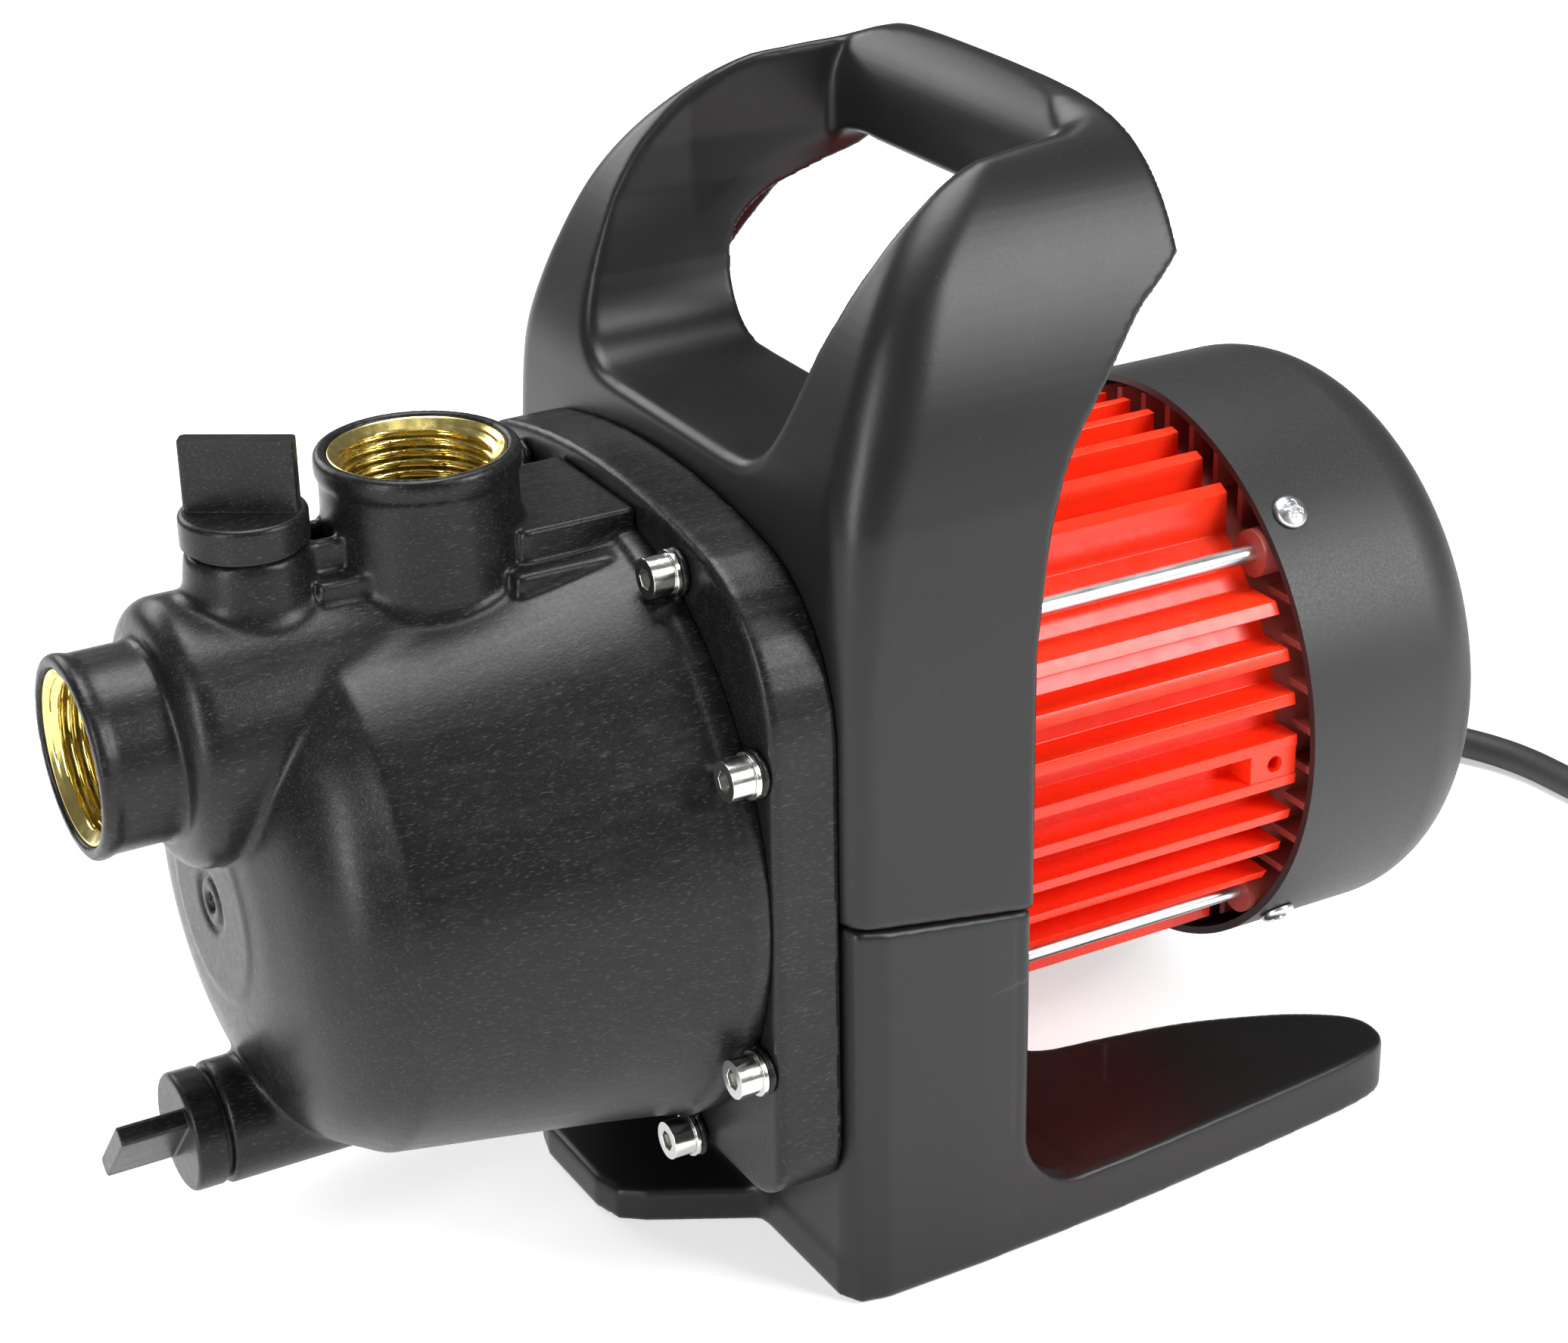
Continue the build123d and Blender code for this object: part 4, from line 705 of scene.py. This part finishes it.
# ---- threaded brass inserts
def thread(name, node, origin, axis, side_dir, length):
    """G1 internal thread: 11 turns to the inch, 1.48 deep, mouth chamfered. The axis points out of the port."""
    turns_n, pitch, crest, root, outer = 96, 2.309, 15.15, 16.55, 18.2
    rows = int(length / pitch * 10)
    a, s = Vector(axis), Vector(side_dir)
    t = a.cross(s)
    verts, faces = [], []
    for i in range(rows + 1):
        d = length * i / rows
        for k in range(turns_n):
            th = 2 * math.pi * k / turns_n
            ph = (d / pitch + k / turns_n) % 1.0
            tri = 1 - abs(2 * ph - 1)
            w = min(1.0, max(0.0, (tri - 0.14) / 0.72))
            fade = min(1.0, max(0.0, (length - d) / 2.2))
            r = crest + (root - crest) * w * fade
            if d < 2.2:
                r = max(r, 17.6 - (17.6 - crest) * d / 2.2)
            p = Vector(origin) + a * (-d) + (s * math.cos(th) + t * math.sin(th)) * r
            verts.append(p * MM)
    base = len(verts)
    for d, r in ((length, outer), (0.25, outer), (0.0, outer - 0.25)):
        for k in range(turns_n):
            th = 2 * math.pi * k / turns_n
            verts.append((Vector(origin) + a * (-d) + (s * math.cos(th) + t * math.sin(th)) * r) * MM)
    loops = [i * turns_n for i in range(rows + 1)] + [base, base + turns_n, base + 2 * turns_n]
    for p, q in zip(loops, loops[1:] + loops[:1]):
        for k in range(turns_n):
            j = (k + 1) % turns_n
            faces.append((p + k, p + j, q + j, q + k))
    me = bpy.data.meshes.new(name)
    me.from_pydata(verts, [], faces)
    for f in me.polygons:
        f.use_smooth = True
    me.update()
    o = bpy.data.objects.new(name, me)
    bpy.context.scene.collection.objects.link(o)
    me.materials.append(MATS["brass"])
    m = o.modifiers.new("sharp", "EDGE_SPLIT")
    m.split_angle = math.radians(50)
    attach(o, "pump")
    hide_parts(node)


thread("suction_thread", "suction_insert", (-167.3, 0, 134.5), (-1, 0, 0), (0, 1, 0), 15.3)
thread("outlet_thread", "outlet_insert", (-90.0, 0, 184.0), (0, 0, 1), (1, 0, 0), 15.3)

# ---- pan head screws of the fan cover, with cross recesses
B = Block((-5.0, -5.0, -5.2), (5.0, 5.0, 3.2), 0.2)
rad = np.hypot(B.x, B.y)
head = rmax(np.sqrt(B.x ** 2 + B.y ** 2 + (B.z + 4.6) ** 2) - 6.9, rad - 4.0, 0.5)
head = rmax(head, -B.z, 0.2)
slot_d = np.minimum(rmax(np.abs(B.x) - 0.55, np.abs(B.y) - 2.3, 0.2), rmax(np.abs(B.y) - 0.55, np.abs(B.x) - 2.3, 0.2))
slot_d = np.minimum(slot_d, rad - 1.0 - 0.25 * (B.z - 0.6))
head = cut(head, rmax(slot_d, 0.7 - B.z, 0.1), 0.15)
head = rmin(head, rmax(rad - 2.0, np.maximum(-4.4 - B.z, B.z - 0.5), 0.3), 0.2)
first = skin("cover_screw_1", B, head, "zinc_steel", "pump", ("cover_screws",), 1)
local = [v.co.copy() for v in first.data.vertices]
for k, ang in enumerate((48, 132, 225, 315)):
    n = Vector((0, math.cos(math.radians(ang)), math.sin(math.radians(ang))))
    u = Vector((1, 0, 0))
    w = n.cross(u)
    tw = math.radians((20, 64, 8, 41)[k])
    uu, ww = u * math.cos(tw) + w * math.sin(tw), w * math.cos(tw) - u * math.sin(tw)
    at = Vector((95.4, n.y * 67.66, AX + n.z * 67.66)) * MM
    o = first if k == 0 else bpy.data.objects.new("cover_screw_%d" % (k + 1), first.data.copy())
    for v, c in zip(o.data.vertices, local):
        v.co = at + uu * c.x + ww * c.y + n * c.z
    o.data.update()
    if k:
        bpy.context.scene.collection.objects.link(o)
        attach(o, "pump")

# ---- strain relief on the gland, along the cord's own line
sleeve, at, run = [], 0.0, []
for a, b in zip(path, path[1:]):
    run.append((at, a, (b - a).normalized()))
    at += (b - a).length
    if at > 0.040:
        break
verts, faces, seg = [], [], 32


def on_cord(s):
    for (s0, p, t), nxt in zip(run, run[1:] + [None]):
        if nxt is None or nxt[0] > s:
            return p + t * (s - s0), t


rings = []
for i in range(61):
    s = 0.034 * i / 60
    r = 0.0076 + (0.0053 - 0.0076) * (i / 60) ** 0.8
    if 6 < i < 56 and i % 8 in (2, 3, 4):
        r -= 0.0007
    rings.append((s, r))
rings = [(0.0, 0.0043)] + rings + [(0.0342, 0.00475), (0.0342, 0.0043)]
for s, r in rings:
    p, t = on_cord(s)
    u = t.cross(Vector((0, 0, 1))).normalized()
    w = u.cross(t)
    for k in range(seg):
        th = 2 * math.pi * k / seg
        verts.append(p + (u * math.cos(th) + w * math.sin(th)) * r)
for i in range(len(rings)):
    j = (i + 1) % len(rings)
    for k in range(seg):
        m = (k + 1) % seg
        faces.append((i * seg + k, i * seg + m, j * seg + m, j * seg + k))
me = bpy.data.meshes.new("strain_relief")
me.from_pydata(verts, [], faces)
for f in me.polygons:
    f.use_smooth = True
relief = bpy.data.objects.new("strain_relief", me)
bpy.context.scene.collection.objects.link(relief)
me.materials.append(MATS["seal_rubber"])
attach(relief, "pump")

# ---- edge breaks on the solids that stay
for name, width in dict(motor_housing=0.7, rear_end_shield=0.6, front_end_shield=0.5, fan_cover=0.5, filler_plug=0.9, drain_plug=0.9,
                        casing_screws=0.35, casing_washers=0.15, tie_rods=0.3, tie_rod_nuts=0.3, connection_box=0.8, box_lid=0.9,
                        rocker=0.5, switch_body=0.4, gland_body=0.4, gland_nut=0.5, mains_plug=0.6, cooling_fan=0.3, impeller=0.3).items():
    soften(name, width)


# ------------------------------------------------------------------ floor and light
floor_mesh = bpy.data.meshes.new("floor")
floor_mesh.from_pydata([(-6, -6, 0), (8, -6, 0), (8, 8, 0), (-6, 8, 0)], [], [(0, 1, 2, 3)])
floor = bpy.data.objects.new("floor", floor_mesh)
bpy.context.scene.collection.objects.link(floor)
g = Graph("floor_white")
g.set(Base_Color=(0.93, 0.93, 0.93), Roughness=0.6)
g.b.inputs["Specular IOR Level"].default_value = 0.2
g.b.inputs["Emission Color"].default_value = (1, 1, 1, 1)
g.b.inputs["Emission Strength"].default_value = 0.50
floor_mesh.materials.append(g.m)

world = bpy.data.worlds.new("studio")
bpy.context.scene.world = world
world.use_nodes = True
world.node_tree.nodes["Background"].inputs[0].default_value = (1, 1, 1, 1)
world.node_tree.nodes["Background"].inputs[1].default_value = 0.17


def softbox(name, at, look, size, size_y, power):
    d = bpy.data.lights.new(name, "AREA")
    d.shape = "RECTANGLE"
    d.size, d.size_y, d.energy = size, size_y, power
    o = bpy.data.objects.new(name, d)
    bpy.context.scene.collection.objects.link(o)
    o.location = at
    o.rotation_euler = (Vector(look) - Vector(at)).to_track_quat("-Z", "Y").to_euler()
    return o


softbox("top", (0.10, 0.25, 1.45), (0, 0, 0.1), 0.8, 0.8, 21)
softbox("left", (-1.30, -0.62, 0.62), (-0.05, 0, 0.10), 0.22, 1.1, 13)
softbox("key", (0.85, -1.10, 0.95), (0.05, 0, 0.12), 0.5, 0.9, 23)
softbox("back", (-0.35, 1.25, 0.75), (0, 0, 0.12), 0.9, 0.5, 8)
